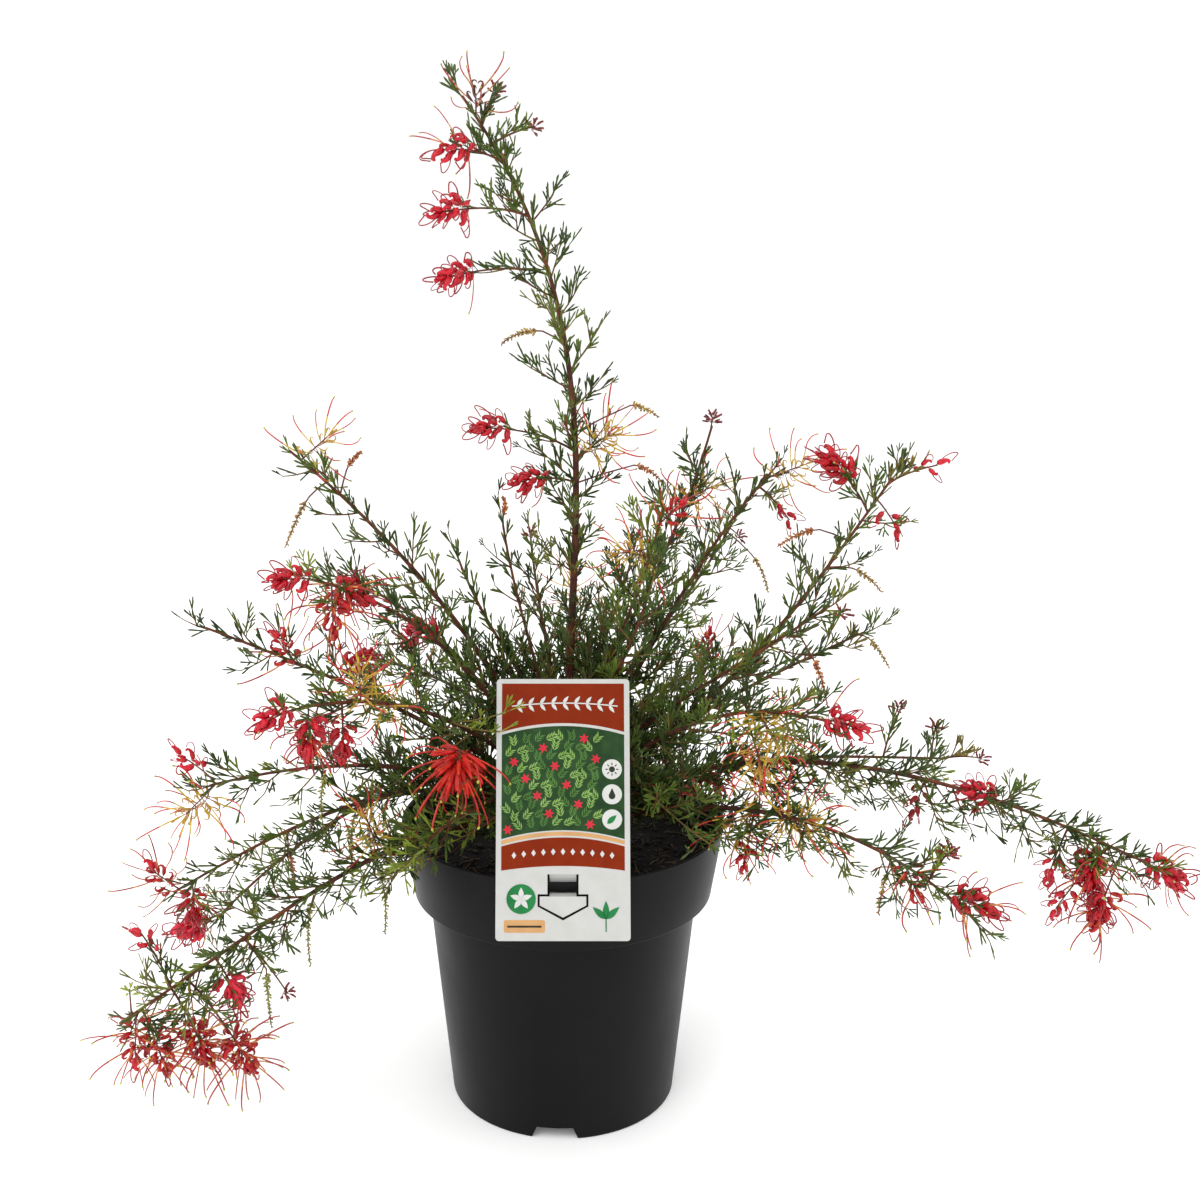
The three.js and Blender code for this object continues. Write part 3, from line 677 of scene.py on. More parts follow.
def make_bed():
    """The mix as one body that fills the pot."""
    profile = [(pole_radius, pot_floor_top + gap), (pot_floor_radius - 1, pot_floor_top + gap),
               (body_top_radius - pot_wall - gap, collar_foot + pot_wall + gap),
               (collar_foot_radius - pot_wall - gap, collar_foot + pot_wall + gap)]
    for i in range(bed_rings):
        profile.append(((edge_radius - bed_edge_gap) * (1 - i / bed_rings), soil_height))
    profile.append((pole_radius, soil_height))
    points, faces = turned(profile, bed_sides)
    raised = [(x, y, bed_height(x, y) if z == soil_height else z) for x, y, z in points]
    return mesh_of("mix_bed", raised, faces)


mix_brown = finish("mix_brown", (27, 21, 17), (9, 8, 7), 260, 0.95, softness=0.16,
                   grain=700, depth=0.9, spread=0.06, Specular_IOR_Level=0.25)
bed_mesh = make_bed()
bed_mesh.materials.append(mix_brown)
dress("mix_bed", bed_mesh, ["potting_mix"])


# %% Chips and bits on the mix
def make_random(seed):
    """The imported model's own seeded stream of numbers from 0 to 1."""
    state = seed

    def draw():
        nonlocal state
        state = (state * 1664525 + 1013904223) % 4294967296
        return state / 4294967296
    return draw


def drawn(span, draw):
    """A drawn value between the two ends of a span."""
    return span[0] + (span[1] - span[0]) * draw()


def chip(length, width, thickness, bend):
    """A torn chip of bark: a six-sided slab, pinched at its ends."""
    outline = [(-0.5, 0.1), (-0.3, 0.45), (0.25, 0.5), (0.5, -0.05), (0.2, -0.5), (-0.35, -0.4)]
    low = [(x * length, y * width, -thickness / 2 + bend * x * x) for x, y in outline]
    high = [(0.86 * x * length, 0.8 * y * width, thickness / 2 + bend * x * x) for x, y in outline]
    return low + high, slab_faces(len(outline))


def needle_bit(length, bend):
    """A bit of a fallen needle, bent to one side."""
    path = [(length * (t - 0.5), bend * math.sin(math.pi * t), 0) for t in (0, 0.33, 0.67, 1)]
    return tube(path, (0.3, 0.4, 0.35, 0.2), 3)


trunk_room = 11
edge_room = 4
litter_tilt = 0.9


def spread_on_bed(count, seed, sizes, kinds, rise):
    """Spots all over the mix but the trunk's foot, each tilted and turned its own way."""
    draw = make_random(seed)
    spots = []
    while len(spots) < count:
        away = (edge_radius - edge_room) * math.sqrt(draw())
        turn = 2 * math.pi * draw()
        x, y = away * math.cos(turn), away * math.sin(turn)
        if away < trunk_room:
            continue
        tilt = Vector((litter_tilt * (draw() - 0.5), litter_tilt * (draw() - 0.5), 1))
        spin = 2 * math.pi * draw()
        face = Vector((math.cos(spin), math.sin(spin), 0))
        size = drawn(sizes, draw)
        spots.append(((x, y, bed_height(x, y) + rise), tilt, face, size, int(draw() * kinds)))
    return spots


chip_shapes = shapes_from(
    "chip", [chip(5, 3, 1.2, 0.6), chip(7, 2.6, 1, -0.8), chip(3.2, 2.8, 1.6, 0)])
bit_shapes = shapes_from("bit", [needle_bit(9, 1.4), needle_bit(14, -2.2), needle_bit(6, 0.6)])
chip_dark = finish("chip_dark", (34, 26, 22), (13, 11, 10), 420, 0.9, grain=600, depth=0.8)
chip_warm = finish("chip_warm", (68, 48, 36), (34, 24, 19), 380, 0.85, grain=600, depth=0.8)
bit_pale = finish("bit_pale", (122, 98, 68), (76, 55, 36), 300, 0.8, grain=900, depth=0.3)
# name, count, seed, sizes, rise over the mix, shapes, finish and whether it is smooth
litter = [("mix_chips_dark", 950, 11, (0.5, 1.3), 0.1, chip_shapes, chip_dark, False),
          ("mix_chips_warm", 170, 12, (0.4, 1.0), 0.3, chip_shapes, chip_warm, False),
          ("mix_bits", 240, 13, (0.5, 1.2), 0.8, bit_shapes, bit_pale, True)]
for name, count, seed, sizes, rise, shapes, material, smooth in litter:
    spots = spread_on_bed(count, seed, sizes, len(shapes.objects), rise)
    dress(name, cloud(name, spots, shapes, material, smooth))

# %% [markdown]
# ## The tag
# The tag is a stiff printed card that leans back over the rim. A tongue is cut free inside
# it, folds back over the rim, runs down inside the pot and comes out through the slot to an
# arrow head. The card is a flat outline with the window cut out, raised and slightly
# rounded. Its printing is a plain design of bands, sprigs and round signs, each a film a
# few hundredths of a millimetre thick, so every edge is crisp.

# %% Tag card
tag_width = 75.3
tag_height = 146
tag_thickness = 0.6
tag_corner = 2
tag_bevel = 0.08
tag_lean = math.radians(21.7)
tag_foot_height = 152
tag_clearance = 0.5
tongue_width = 15
tongue_hinge = 36.6
tongue_inset = 1.1
tongue_sink = 0.9
window_gap = 1.2
arrow_shoulder = 24.4
arrow_side = 19.5
arrow_tip = 12.8
arrow_width = 26
tag_up = Vector((0, math.sin(tag_lean), math.cos(tag_lean)))
tag_out = Vector((0, -math.cos(tag_lean), math.sin(tag_lean)))
tag_foot = Vector((0, -rim_radius - tag_clearance
                   - (pot_height - tag_foot_height) * math.tan(tag_lean), tag_foot_height))
tag_axes = Matrix((Vector((1, 0, 0)), tag_up, tag_out)).transposed()
tag_place = Matrix.Translation(tag_foot * MM) @ tag_axes.to_4x4()


def flat_shape(name, outlines, low, high, bevel=0.0):
    """Outlines in the card's own plane, holes inside them, from one height to another."""
    curve = bpy.data.curves.new(name, "CURVE")
    curve.dimensions = "2D"
    curve.fill_mode = "BOTH"
    curve.extrude = ((high - low) / 2 - bevel) * MM
    curve.bevel_depth = bevel * MM
    curve.bevel_resolution = 1
    curve.offset = -bevel * MM
    for outline in outlines:
        spline = curve.splines.new("POLY")
        spline.points.add(len(outline) - 1)
        for point, (x, y) in zip(spline.points, outline):
            point.co = (x * MM, y * MM, 0, 1)
        spline.use_cyclic_u = True
    holder = bpy.data.objects.new(name, curve)
    bpy.context.scene.collection.objects.link(holder)
    mesh = evaluated_mesh(holder)
    bpy.data.objects.remove(holder)
    bpy.data.curves.remove(curve)
    mesh.transform(tag_place @ Matrix.Translation((0, 0, (low + high) / 2 * MM)))
    shaped = bmesh.new()
    shaped.from_mesh(mesh)
    bmesh.ops.remove_doubles(shaped, verts=shaped.verts, dist=1e-7)
    bmesh.ops.recalc_face_normals(shaped, faces=shaped.faces)
    shaped.to_mesh(mesh)
    shaped.free()
    return mesh


def around(x, y, radius, angle):
    """The point at a radius and an angle from (x, y)."""
    return x + radius * math.cos(angle), y + radius * math.sin(angle)


def rounded_box(left, bottom, right, top, corner, steps=4):
    """A rectangle's outline with quarter-round corners."""
    outline = []
    corners = ((right - corner, bottom + corner, -90), (right - corner, top - corner, 0),
               (left + corner, top - corner, 90), (left + corner, bottom + corner, 180))
    for x, y, start in corners:
        for k in range(steps + 1):
            outline.append(around(x, y, corner, math.radians(start + 90 * k / steps)))
    return outline


def arrow_outline(grow=0):
    """The tongue's arrow head, or the same a little wider on all sides."""
    half = arrow_width / 2 + grow
    return [(-half, arrow_shoulder + grow), (-half, arrow_side - 0.5 * grow),
            (0, arrow_tip - 1.3 * grow), (half, arrow_side - 0.5 * grow),
            (half, arrow_shoulder + grow)]


def window_outline():
    """The opening round the arrow head and the tongue's neck."""
    neck = tongue_width / 2 + window_gap
    top = arrow_shoulder + window_gap
    return arrow_outline(window_gap) + [(neck, top), (neck, tongue_hinge),
                                        (-neck, tongue_hinge), (-neck, top)]


def strap_mesh():
    """The tongue in section, from the fold over the rim and through the slot to the head."""
    hinge = tag_foot + (tongue_hinge + 0.6) * tag_up
    neck = tag_foot + (arrow_shoulder - 0.8) * tag_up
    over_rim = -rim_radius + pot_wall + tongue_inset
    behind_rim = over_rim + 0.9
    through_slot = over_rim - 2.5
    strap_top = slot_top - tongue_sink
    strap_under = strap_top - 0.7
    section = [
        (hinge.y - 0.4, hinge.z), (over_rim - 0.1, pot_height + 0.9), (behind_rim, strap_top),
        (through_slot, strap_top), (neck.y - 0.3, neck.z + 0.4), (neck.y - 0.3, neck.z - 0.5),
        (through_slot, strap_under), (behind_rim + 0.7, strap_under),
        (over_rim + 1.4, pot_height + 1.4), (hinge.y + 0.5, hinge.z + 0.9)]
    half = tongue_width / 2
    points = [(x, y, z) for x in (-half, half) for y, z in section]
    return mesh_of("tongue", points, slab_faces(len(section)), False)


def merged(name, meshes):
    """Several meshes as one."""
    whole = bmesh.new()
    for mesh in meshes:
        whole.from_mesh(mesh)
        bpy.data.meshes.remove(mesh)
    bmesh.ops.recalc_face_normals(whole, faces=whole.faces)
    mesh = bpy.data.meshes.new(name)
    whole.to_mesh(mesh)
    whole.free()
    return mesh


card_white = finish("card_white", (185, 185, 182), (178, 178, 174), 90, 0.42, softness=0.3,
                    grain=2600, depth=0.06, spread=0.08, Specular_IOR_Level=0.25)
half_tag = tag_width / 2
card_parts = [
    flat_shape("plate", [rounded_box(-half_tag, 0, half_tag, tag_height, tag_corner),
                         window_outline()], 0, tag_thickness, tag_bevel),
    flat_shape("head", [arrow_outline()], 0, tag_thickness, tag_bevel),
    strap_mesh(),
]
card_mesh = merged("tag_card", card_parts)
card_mesh.materials.append(card_white)
dress("tag_card", card_mesh, ["tag"])

# %% [markdown]
# The printing keeps the colours and the weight of a plant tag: a rust band above and
# below, a garden panel between them, a sand stripe and a white foot. Its motifs are plain
# ones: paired leaves and spoked blossoms on a staggered grid, a garland, a row of
# diamonds, round signs for sun, water and leaf, and an emblem. Each layer of print lies a
# little higher than the one before.

# %% Print outlines
bow_half = 30


def bowed(x, y, bow):
    """A height on the card that follows the bow of the bands."""
    return y + bow * (bow_half ** 2 - x * x)


def disc(x, y, radius, steps):
    return [around(x, y, radius, 2 * math.pi * k / steps) for k in range(steps)]


def leaf_shape(x, y, length, width, turn, steps=5):
    """A pointed leaf from its foot at (x, y), towards a turn in degrees."""
    side = [(t * length, width / 2 * math.sin(math.pi * t ** 0.8)) for t in evenly(steps)]
    outline = side[:-1] + [(px, -py) for px, py in reversed(side[1:])]
    c, s = math.cos(math.radians(turn)), math.sin(math.radians(turn))
    return [(x + px * c - py * s, y + px * s + py * c) for px, py in outline]


def band(left, right, bottom, top, bottom_sag=0, top_sag=0, steps=14):
    """A strip whose lower and upper edges bow by a sag."""
    low, high = [], []
    for t in evenly(steps):
        x = left + (right - left) * t
        bow = 4 * t * (1 - t)
        low.append((x, bottom + bottom_sag * bow))
        high.append((x, top + top_sag * bow))
    return low + high[::-1]


# %% Inks
film = 0.035
film_overlap = 0.6


def print_layer(name, outlines, layer, material):
    """Outlines printed on the card as one film, each layer a little higher than the last."""
    low = tag_thickness + film * (layer - film_overlap)
    parts = [flat_shape(f"{name}_{i}", [outline], low, tag_thickness + film * (layer + 1))
             for i, outline in enumerate(outlines)]
    mesh = merged(name, parts)
    mesh.materials.append(material)
    dress(name, mesh)


def ink(name, light, dark):
    return finish(name, light, dark, 120, 0.42, softness=0.35, grain=2600, depth=0.05,
                  spread=0.06, Specular_IOR_Level=0.08)


rust_ink = ink("rust_ink", (124, 38, 8), (114, 32, 4))
garden_ink = ink("garden_ink", (46, 74, 40), (26, 50, 28))
fern_ink = ink("fern_ink", (84, 122, 60), (60, 94, 44))
pale_leaf_ink = ink("pale_leaf_ink", (134, 168, 92), (104, 142, 70))
blossom_ink = ink("blossom_ink", (206, 52, 66), (182, 36, 52))
white_ink = ink("white_ink", (198, 198, 195), (190, 190, 186))
sand_ink = ink("sand_ink", (196, 152, 104), (182, 138, 92))
dark_ink = ink("dark_ink", (48, 52, 44), (36, 40, 34))
leaf_ink = ink("leaf_ink", (40, 120, 66), (30, 102, 54))
print("inks:", len([m for m in bpy.data.materials if m.name.endswith("_ink")]))

# %% Bands and garden panel
print_half = 34.6
full_width = (-print_half, print_half)
garden_rows = 10
garden_columns = 9
garden_right = 21

print_layer("print_rust", [band(*full_width, 116, 143.4, 5), band(*full_width, 38.6, 52, 2.6, 5)],
            0, rust_ink)
print_layer("print_garden", [band(*full_width, 56, 114.4, 5, 5)], 0, garden_ink)
print_layer("print_sand", [band(*full_width, 53, 55.2, 5, 5),
                           rounded_box(-33, 4.5, -10, 11.5, 1.2)], 0, sand_ink)


def garden_motifs():
    """Two kinds of sprigs with blossoms among them, on a grid of staggered rows."""
    sprigs, blossoms = ([], []), []
    for row in range(garden_rows):
        for column in range(garden_columns):
            x = -31 + column * 6.6 + (3.3 if row % 2 else 0)
            y = bowed(x, 61.5 + row * 5.3, 0.004)
            if x > garden_right:
                continue
            pick = (row * 5 + column * 3) % 7
            if pick == 0:
                blossoms.extend(leaf_shape(x, y, 3, 1.2, 60 * k + 10 * row) for k in range(6))
                continue
            lean = 50 + 26 * ((row * 7 + column * 4) % 5 - 1)
            for k in range(3):
                foot = around(x, y, 1.7 * (k - 1), math.radians(lean))
                for side in (-36, 36):
                    sprigs[pick % 2].append(leaf_shape(*foot, 3.9, 0.9, lean + side, 3))
    return *sprigs, blossoms


ferns, sprigs, blossoms = garden_motifs()
print_layer("print_ferns", ferns, 1, fern_ink)
print_layer("print_sprigs", sprigs, 2, pale_leaf_ink)
print_layer("print_blossoms", blossoms, 3, blossom_ink)

# %% Garland, signs and foot
signs_x = 27.6
leaf_sign_y, drop_sign_y, sun_sign_y = sign_heights = (67, 81, 95)
emblem = (-23.4, 23)


def white_motifs():
    """The plates of the three signs, the garland and the row of diamonds."""
    white = [disc(signs_x, y, 5.6, 28) for y in sign_heights]
    for k in range(9):
        x = -26 + 6.5 * k
        y = bowed(x, 130.5, 0.002)
        white += [leaf_shape(x, y, 5.2, 1.9, turn) for turn in (52, -52)]
    white.append(band(-29, 31, 130.2, 130.9, 1.8, 1.8))
    for k in range(11):
        x = -27.5 + 5.5 * k
        y = bowed(x, 46.6, 0.0028)
        white.append([(x - 1.3, y), (x, y - 1.9), (x + 1.3, y), (x, y + 1.9)])
    return white


def dark_motifs():
    """The sun with its rays, the drop and a line."""
    dark = [disc(signs_x, sun_sign_y, 1.7, 16)]
    for turn in range(0, 360, 45):
        foot = around(signs_x, sun_sign_y, 2.1, math.radians(turn))
        dark.append(leaf_shape(*foot, 1.9, 0.7, turn))
    drop = [around(signs_x, drop_sign_y - 0.9, 1.9, math.radians(turn))
            for turn in range(-200, 21, 20)]
    return dark + [drop + [(signs_x, drop_sign_y + 3.6)], band(-31, -12, 7.4, 8.4)]


green = [disc(*emblem, 8.2, 32), leaf_shape(signs_x - 2.8, leaf_sign_y - 2.4, 7.2, 3.2, 42)]
green += [leaf_shape(24, 12, 10, 3.6, 90 + turn) for turn in (-48, 0, 48)]
green.append(band(23.7, 24.3, 5, 13))
petals = [leaf_shape(*emblem, 6.4, 3, 72 * k + 18) for k in range(5)]
print_layer("print_white", white_motifs(), 4, white_ink)
print_layer("print_dark", dark_motifs(), 5, dark_ink)
print_layer("print_green", green, 5, leaf_ink)
print_layer("print_petals", petals, 6, white_ink)

# %% [markdown]
# ## The boughs
# The shrub is one short trunk and thirty-three boughs. Each bough is a bent line from its
# seat on the trunk to a tip that is named by its turn about the pot, its reach and its
# height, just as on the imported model. The table and the rule that reads it are the same
# ones, so the dressed boughs run inside the plain ones.

# %% Table of boughs
trunk_height = 72
trunk_flare = 4.5
trunk_flare_height = 7
trunk_foot_radius = 8
trunk_top_radius = 4.6
trunk_lean = (2.5, -1)
trunk_sides = 9
trunk_steps = 7
trunk_crowding = 1.6
stem_flat = 0.7
tip_radius = 0.75
handle = 0.38
line_steps = 28
length_steps = 200

# name, turn, reach, top, rise, fall, swing, veer, seat, girth, bare, blooms. A bloom is a
# kind, a share of the bough, a step outwards, a step upwards and sometimes a size.
bough_table = [
    ("leader", 205, 60, 606, 89, 54, 170, -15, 72, 2.9, 0.24, [
        ("old", 0.97, 0, 3), ("bud", 0.96, -9, 16), ("brush", 0.9, 20, 10, 0.8),
        ("bud", 0.93, -24, 8), ("net", 0.82, 38, 6), ("net", 0.73, 48, 4),
        ("net", 0.45, 44, 18), ("net", 0.4, 21, 6), ("sunny", 0.44, -12, 4, 1.3),
        ("catkin", 0.48, -36, 14), ("catkin", 0.4, -38, 8), ("catkin", 0.62, 14, 8)]),
    ("up_left", 190, 158, 414, 60, 42, -6, 0, 55, 2.2, 0.22, [
        ("sunny", 0.97, -6, 3, 0.7), ("catkin", 0.9, 10, -8), ("catkin", 0.86, -4, 14)]),
    ("left_high", 161, 148, 322, 52, 16, 6, 5, 44, 2, 0.24, [
        ("net", 0.63, -2, 0), ("spider", 0.99, 0, -4)]),
    ("left_mid", 214, 158, 352, 54, 22, -6, 0, 48, 2.1, 0.24, [
        ("net", 1, 8, 4), ("spider", 0.97, 0, -8, 1.2), ("brush", 0.96, -2, 0)]),
    ("left_long", 190, 210, 312, 38, 24, 4, 0, 35, 2.1, 0.22, [
        ("spider", 0.78, 2, 2), ("net", 0.66, -4, 6)]),
    ("left_low", 222, 190, 292, 46, 2, 0, 5, 38, 2, 0.24, [
        ("net", 1, 4, 1), ("brush", 0.96, 0, -9, 1.2), ("net", 0.86, 0, -14),
        ("sunny", 0.8, 0, 2), ("sunny", 0.69, 4, 0)]),
    ("left_flat", 200, 214, 229, 30, -8, 4, 0, 29, 2, 0.3, [
        ("net", 1, 4, 12, 0.5), ("sunny", 1, 2, -8, 1.3), ("spent", 0.7, 0, -2)]),
    ("left_droop", 186, 240, 141, 36, -30, 4, 0, 21, 2, 0.34, [
        ("spider", 1, 2, 4), ("brush", 0.95, 0, -8), ("catkin", 0.7, 0, -14),
        ("spent", 0.52, 0, -2)]),
    ("left_mid_droop", 174, 226, 100, 50, -48, -8, 0, 18, 1.9, 0.4, [
        ("pink", 1, 10, -4, 1.2), ("spent", 0.9, -6, -2), ("spent", 0.6, 0, -2),
        ("spent", 0.48, 0, -2)]),
    ("low_left", 208, 276, 112, 36, -24, 12, 0, 11, 2.3, 0.34, [
        ("burst", 0.97, 1, -9, 0.75), ("burst", 0.96, -6, -20, 1), ("burst", 0.9, -12, -30, 1.5),
        ("burst", 0.87, -26, -46, 1.3), ("lime", 0.98, 0, 14), ("pink", 0.81, -6, -14, 1.1),
        ("net", 0.9, 8, 26, 0.4), ("bud", 0.75, -22, -40), ("sunny", 0.45, 4, 10, 1.2),
        ("spent", 0.75, -12, -22), ("spent", 0.6, 0, -2), ("spent", 0.46, 0, -2)]),
    ("short_left", 170, 64, 342, 72, 70, 14, 0, 66, 1.3, 0, []),
    ("mid_up_left", 130, 58, 356, 76, 76, 12, 0, 60, 1.3, 0, [("catkin", 1, 0, 4)]),
    ("front_up", 308, 80, 344, 68, 70, -6, 0, 50, 1.6, 0, []),
    ("spider_up", 335, 62, 374, 74, 76, -15, 0, 62, 1.4, 0, [
        ("sunny", 0.9, -6, -4, 1.2), ("spider", 0.99, 2, 0)]),
    ("bud_up", 20, 96, 420, 66, 74, 14, 0, 65, 1.7, 0, [
        ("bud", 1, 0, 3, 1.7), ("sunny", 0.8, 4, 0, 0.8)]),
    ("upright", 5, 123, 394, 58, 50, -10, 0, 56, 1.9, 0.24, [
        ("sunny", 1, 8, -2, 0.8), ("net", 0.96, 12, -10, 0.3)]),
    ("upright_back", 42, 150, 346, 56, 50, 6, 0, 50, 1.8, 0.24, [
        ("bud", 1, 6, -10), ("catkin", 0.97, 24, -18)]),
    ("right_up", 352, 190, 398, 32, 58, 2, 0, 40, 2.2, 0.24, [
        ("net", 0.92, -12, 21, 1.35), ("net", 0.95, 6, -6, 0.3), ("net", 1, 12, 6, 0.3),
        ("catkin", 0.78, 14, 0), ("catkin", 0.85, -16, 6)]),
    ("right_fork", 330, 166, 336, 48, 40, -4, 0, 46, 1.9, 0, [
        ("bud", 1, 8, -2), ("catkin", 0.9, 10, -14)]),
    ("right_mid", 16, 200, 284, 36, 20, 4, 0, 30, 2, 0.24, [("catkin", 1, 4, -4)]),
    ("right_near", 322, 182, 280, 42, -4, -8, 0, 36, 1.9, 0.24, [
        ("net", 0.97, 6, 2), ("sunny", 0.78, 2, -4, 1.5), ("sunny", 0.74, 5, -18)]),
    ("right_long", 349, 346, 178, 34, -24, 0, 0, 24, 2.4, 0.28, [
        ("net", 0.75, -2, 2), ("net", 0.63, -2, -6, 0.4), ("net", 0.87, -6, -18, 0.6),
        ("brush", 0.92, -2, -10, 1.5), ("brush", 0.96, -8, -28, 1.5), ("net", 0.94, -22, -30, 0.5),
        ("brush", 1, 4, 0, 1.2)]),
    ("right_slim", 8, 248, 206, 28, -4, 8, 0, 17, 1.7, 0.3, [
        ("bud", 0.84, 8, 32), ("bud", 0.96, 2, 20), ("bud", 1, 22, -2), ("net", 0.33, 4, -2)]),
    ("right_low", 334, 250, 168, 32, -36, -6, 0, 13, 2, 0.32, [
        ("sunny", 0.54, 4, -2, 1.5), ("sunny", 0.42, 2, -8, 1.2), ("sunny", 0.49, 0, 8, 0.8),
        ("net", 0.48, -4, -22, 0.5), ("spider", 0.84, 2, -2), ("catkin", 0.81, -2, -8),
        ("bud", 0.9, 10, 18, 1.6), ("brush", 0.96, 4, 2, 1.2)]),
    ("front_left", 231, 128, 201, 52, -24, 14, 0, 24, 1.4, 0, [("vivid", 0.66, 12, 37)]),
    ("front_right", 312, 108, 226, 50, 0, -4, 0, 26, 1.4, 0, [("bud", 1, 0, 2)]),
    ("back_right", 52, 210, 236, 38, -4, 8, 0, 34, 2, 0.26, [
        ("net", 1, 4, 0), ("spider", 0.8, 0, 8)]),
    ("back_mid", 88, 190, 262, 46, 6, 0, 0, 42, 2, 0.26, [
        ("net", 0.97, 0, -8), ("sunny", 1, 4, 8)]),
    ("back_left", 128, 214, 232, 38, -6, 0, 0, 34, 2, 0.26, [
        ("net", 1, 4, -2), ("net", 0.82, 0, 14)]),
    ("back_up_right", 66, 118, 330, 64, 56, 6, 0, 54, 1.6, 0, [("bud", 1, 2, 4)]),
    ("back_up_left", 102, 102, 334, 68, 58, 4, 0, 58, 1.5, 0, [("bud", 1, 0, 4)]),
    ("back_low_right", 70, 236, 130, 38, -40, 4, 0, 19, 1.9, 0.36, [
        ("spider", 1, 0, 0), ("net", 0.9, -4, -18)]),
    ("back_low_left", 110, 228, 140, 38, -38, -4, 0, 19, 1.9, 0.36, [
        ("net", 1, 0, -2), ("spider", 0.88, 0, -18)]),
]
print("boughs:", len(bough_table))


# %% The trunk and the boughs' lines
def heading(turn, slope=0.0):
    """A horizontal direction at a turn, tilted up by a slope, both in degrees."""
    level = math.cos(math.radians(slope))
    return np.array([level * math.cos(math.radians(turn)), level * math.sin(math.radians(turn)),
                     math.sin(math.radians(slope))])


def unit(vector):
    return vector / np.linalg.norm(vector)


def trunk_radius(height):
    share = min(1, max(0, height / trunk_height))
    flare = trunk_flare * math.exp(-height / trunk_flare_height)
    return trunk_foot_radius + (trunk_top_radius - trunk_foot_radius) * share + flare


def trunk_centre(height):
    share = height / trunk_height
    return np.array([trunk_lean[0] * share, trunk_lean[1] * share, soil_height + height])


def trunk_ring(step):
    return gap + (trunk_height - gap) * (step / trunk_steps) ** trunk_crowding


def trunk_face(turn, height):
    """The distance from the trunk's middle to the plain model's flat face at a turn."""
    ring = 0
    while ring < trunk_steps - 1 and trunk_ring(ring + 1) < height:
        ring += 1
    low, high = trunk_ring(ring), trunk_ring(ring + 1)
    share = (height - low) / (high - low)
    radius = trunk_radius(low) + (trunk_radius(high) - trunk_radius(low)) * share
    facet = 2 * math.pi / trunk_sides
    turned_by = (math.radians(turn) + math.pi / 2) % facet
    return radius * math.cos(facet / 2) / math.cos(turned_by - facet / 2)


class Bough:
    """One bough: its row of the table, its line and its girth."""

    def __init__(self, row, index):
        (self.name, self.turn, self.reach, self.top, self.rise, self.fall, self.swing, self.veer,
         self.seat, self.girth, self.bare, self.blooms) = row
        self.index = index
        seat_turn = self.turn + self.swing
        start = trunk_centre(self.seat)
        if self.seat >= trunk_height:
            start[2] += gap
        else:
            flat = 1 if self.bare > 0 else stem_flat
            out = (trunk_face(seat_turn, self.seat) + gap
                   + flat * self.girth * math.sin(math.radians(self.rise)))
            start = start + out * heading(seat_turn)
        end = self.reach * heading(self.turn)
        end[2] = self.top
        hold = handle * np.linalg.norm(end - start)
        self.knots = (start, start + hold * heading(seat_turn, self.rise),
                      end - hold * heading(self.turn + self.veer, self.fall), end)
        steps = [self.point(share) for share in evenly(length_steps)]
        self.length = sum(np.linalg.norm(b - a) for a, b in zip(steps, steps[1:]))
        self.points = np.array([self.point(share) for share in evenly(line_steps)])

    def point(self, share):
        a, b, c, d = self.knots
        rest = 1 - share
        return (rest ** 3 * a + 3 * rest ** 2 * share * b + 3 * rest * share ** 2 * c
                + share ** 3 * d)

    def tangent(self, share):
        a, b, c, d = self.knots
        rest = 1 - share
        return unit(rest ** 2 * (b - a) + 2 * rest * share * (c - b) + share ** 2 * (d - c))

    def radius(self, share):
        return self.girth + (tip_radius - self.girth) * share ** 0.8


def tip_outside(bough):
    """How far a bough's tip lies outside the box of its own plain mass, in millimetres."""
    low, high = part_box(f"foliage_{bough.name}")
    tip = bough.points[-1] * MM
    return max(max(low[k] - tip[k], tip[k] - high[k], 0) for k in range(3)) / MM


boughs = [Bough(row, i) for i, row in enumerate(bough_table)]
bough_named = {bough.name: bough for bough in boughs}
print("furthest tip outside its own mass:", round(max(tip_outside(b) for b in boughs), 2))

# %% [markdown]
# ## Room to grow
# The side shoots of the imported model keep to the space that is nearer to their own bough
# than to any other, and clear of the trunk, pot, tag and floor. They are found again by
# the same rule: they start at even steps along the bough, turn by the golden angle, and
# are shortened until they fit.

# %% Room to grow
floor_clearance = 3
mix_clearance = 3
wall_clearance = 2
inner_wall_clearance = 6
fork_clearance = 3
trunk_clearance = 5
card_clearance = 2
card_back_clearance = 2.5
bough_clearance = 0.6
shoot_clearance = 0.2
check_step = 3
segment_starts = np.concatenate([b.points[:-1] for b in boughs])
segment_ways = np.concatenate([b.points[1:] - b.points[:-1] for b in boughs])
segment_squares = (segment_ways ** 2).sum(axis=1)


def distances(point):
    """The distance from a point to each bough's line."""
    offset = point - segment_starts
    share = np.clip((offset * segment_ways).sum(axis=1) / segment_squares, 0, 1)
    rest = offset - share[:, None] * segment_ways
    return np.sqrt((rest ** 2).sum(axis=1)).reshape(len(boughs), line_steps).min(axis=1)


def clears_things(point, half):
    """Whether a point with some width is clear of the floor, pot, trunk and tag."""
    x, y, z = point
    if z - half < floor_clearance:
        return False
    away = math.hypot(x, y)
    if away < rim_radius + mix_clearance + half and z < soil_height + mix_clearance + half:
        return False
    near_wall = (collar_foot_radius - inner_wall_clearance - half < away
                 < rim_radius + wall_clearance + half)
    if near_wall and z < pot_height + wall_clearance + half:
        return False
    if (z < soil_height + trunk_height + fork_clearance
            and away < trunk_foot_radius + trunk_clearance + half):
        return False
    from_tag = Vector(point) - tag_foot
    return not (abs(from_tag.x) < tag_width / 2 + card_clearance + half
                and from_tag.dot(tag_up) < tag_height + card_clearance + half
                and from_tag.dot(tag_out) > -card_back_clearance - half)


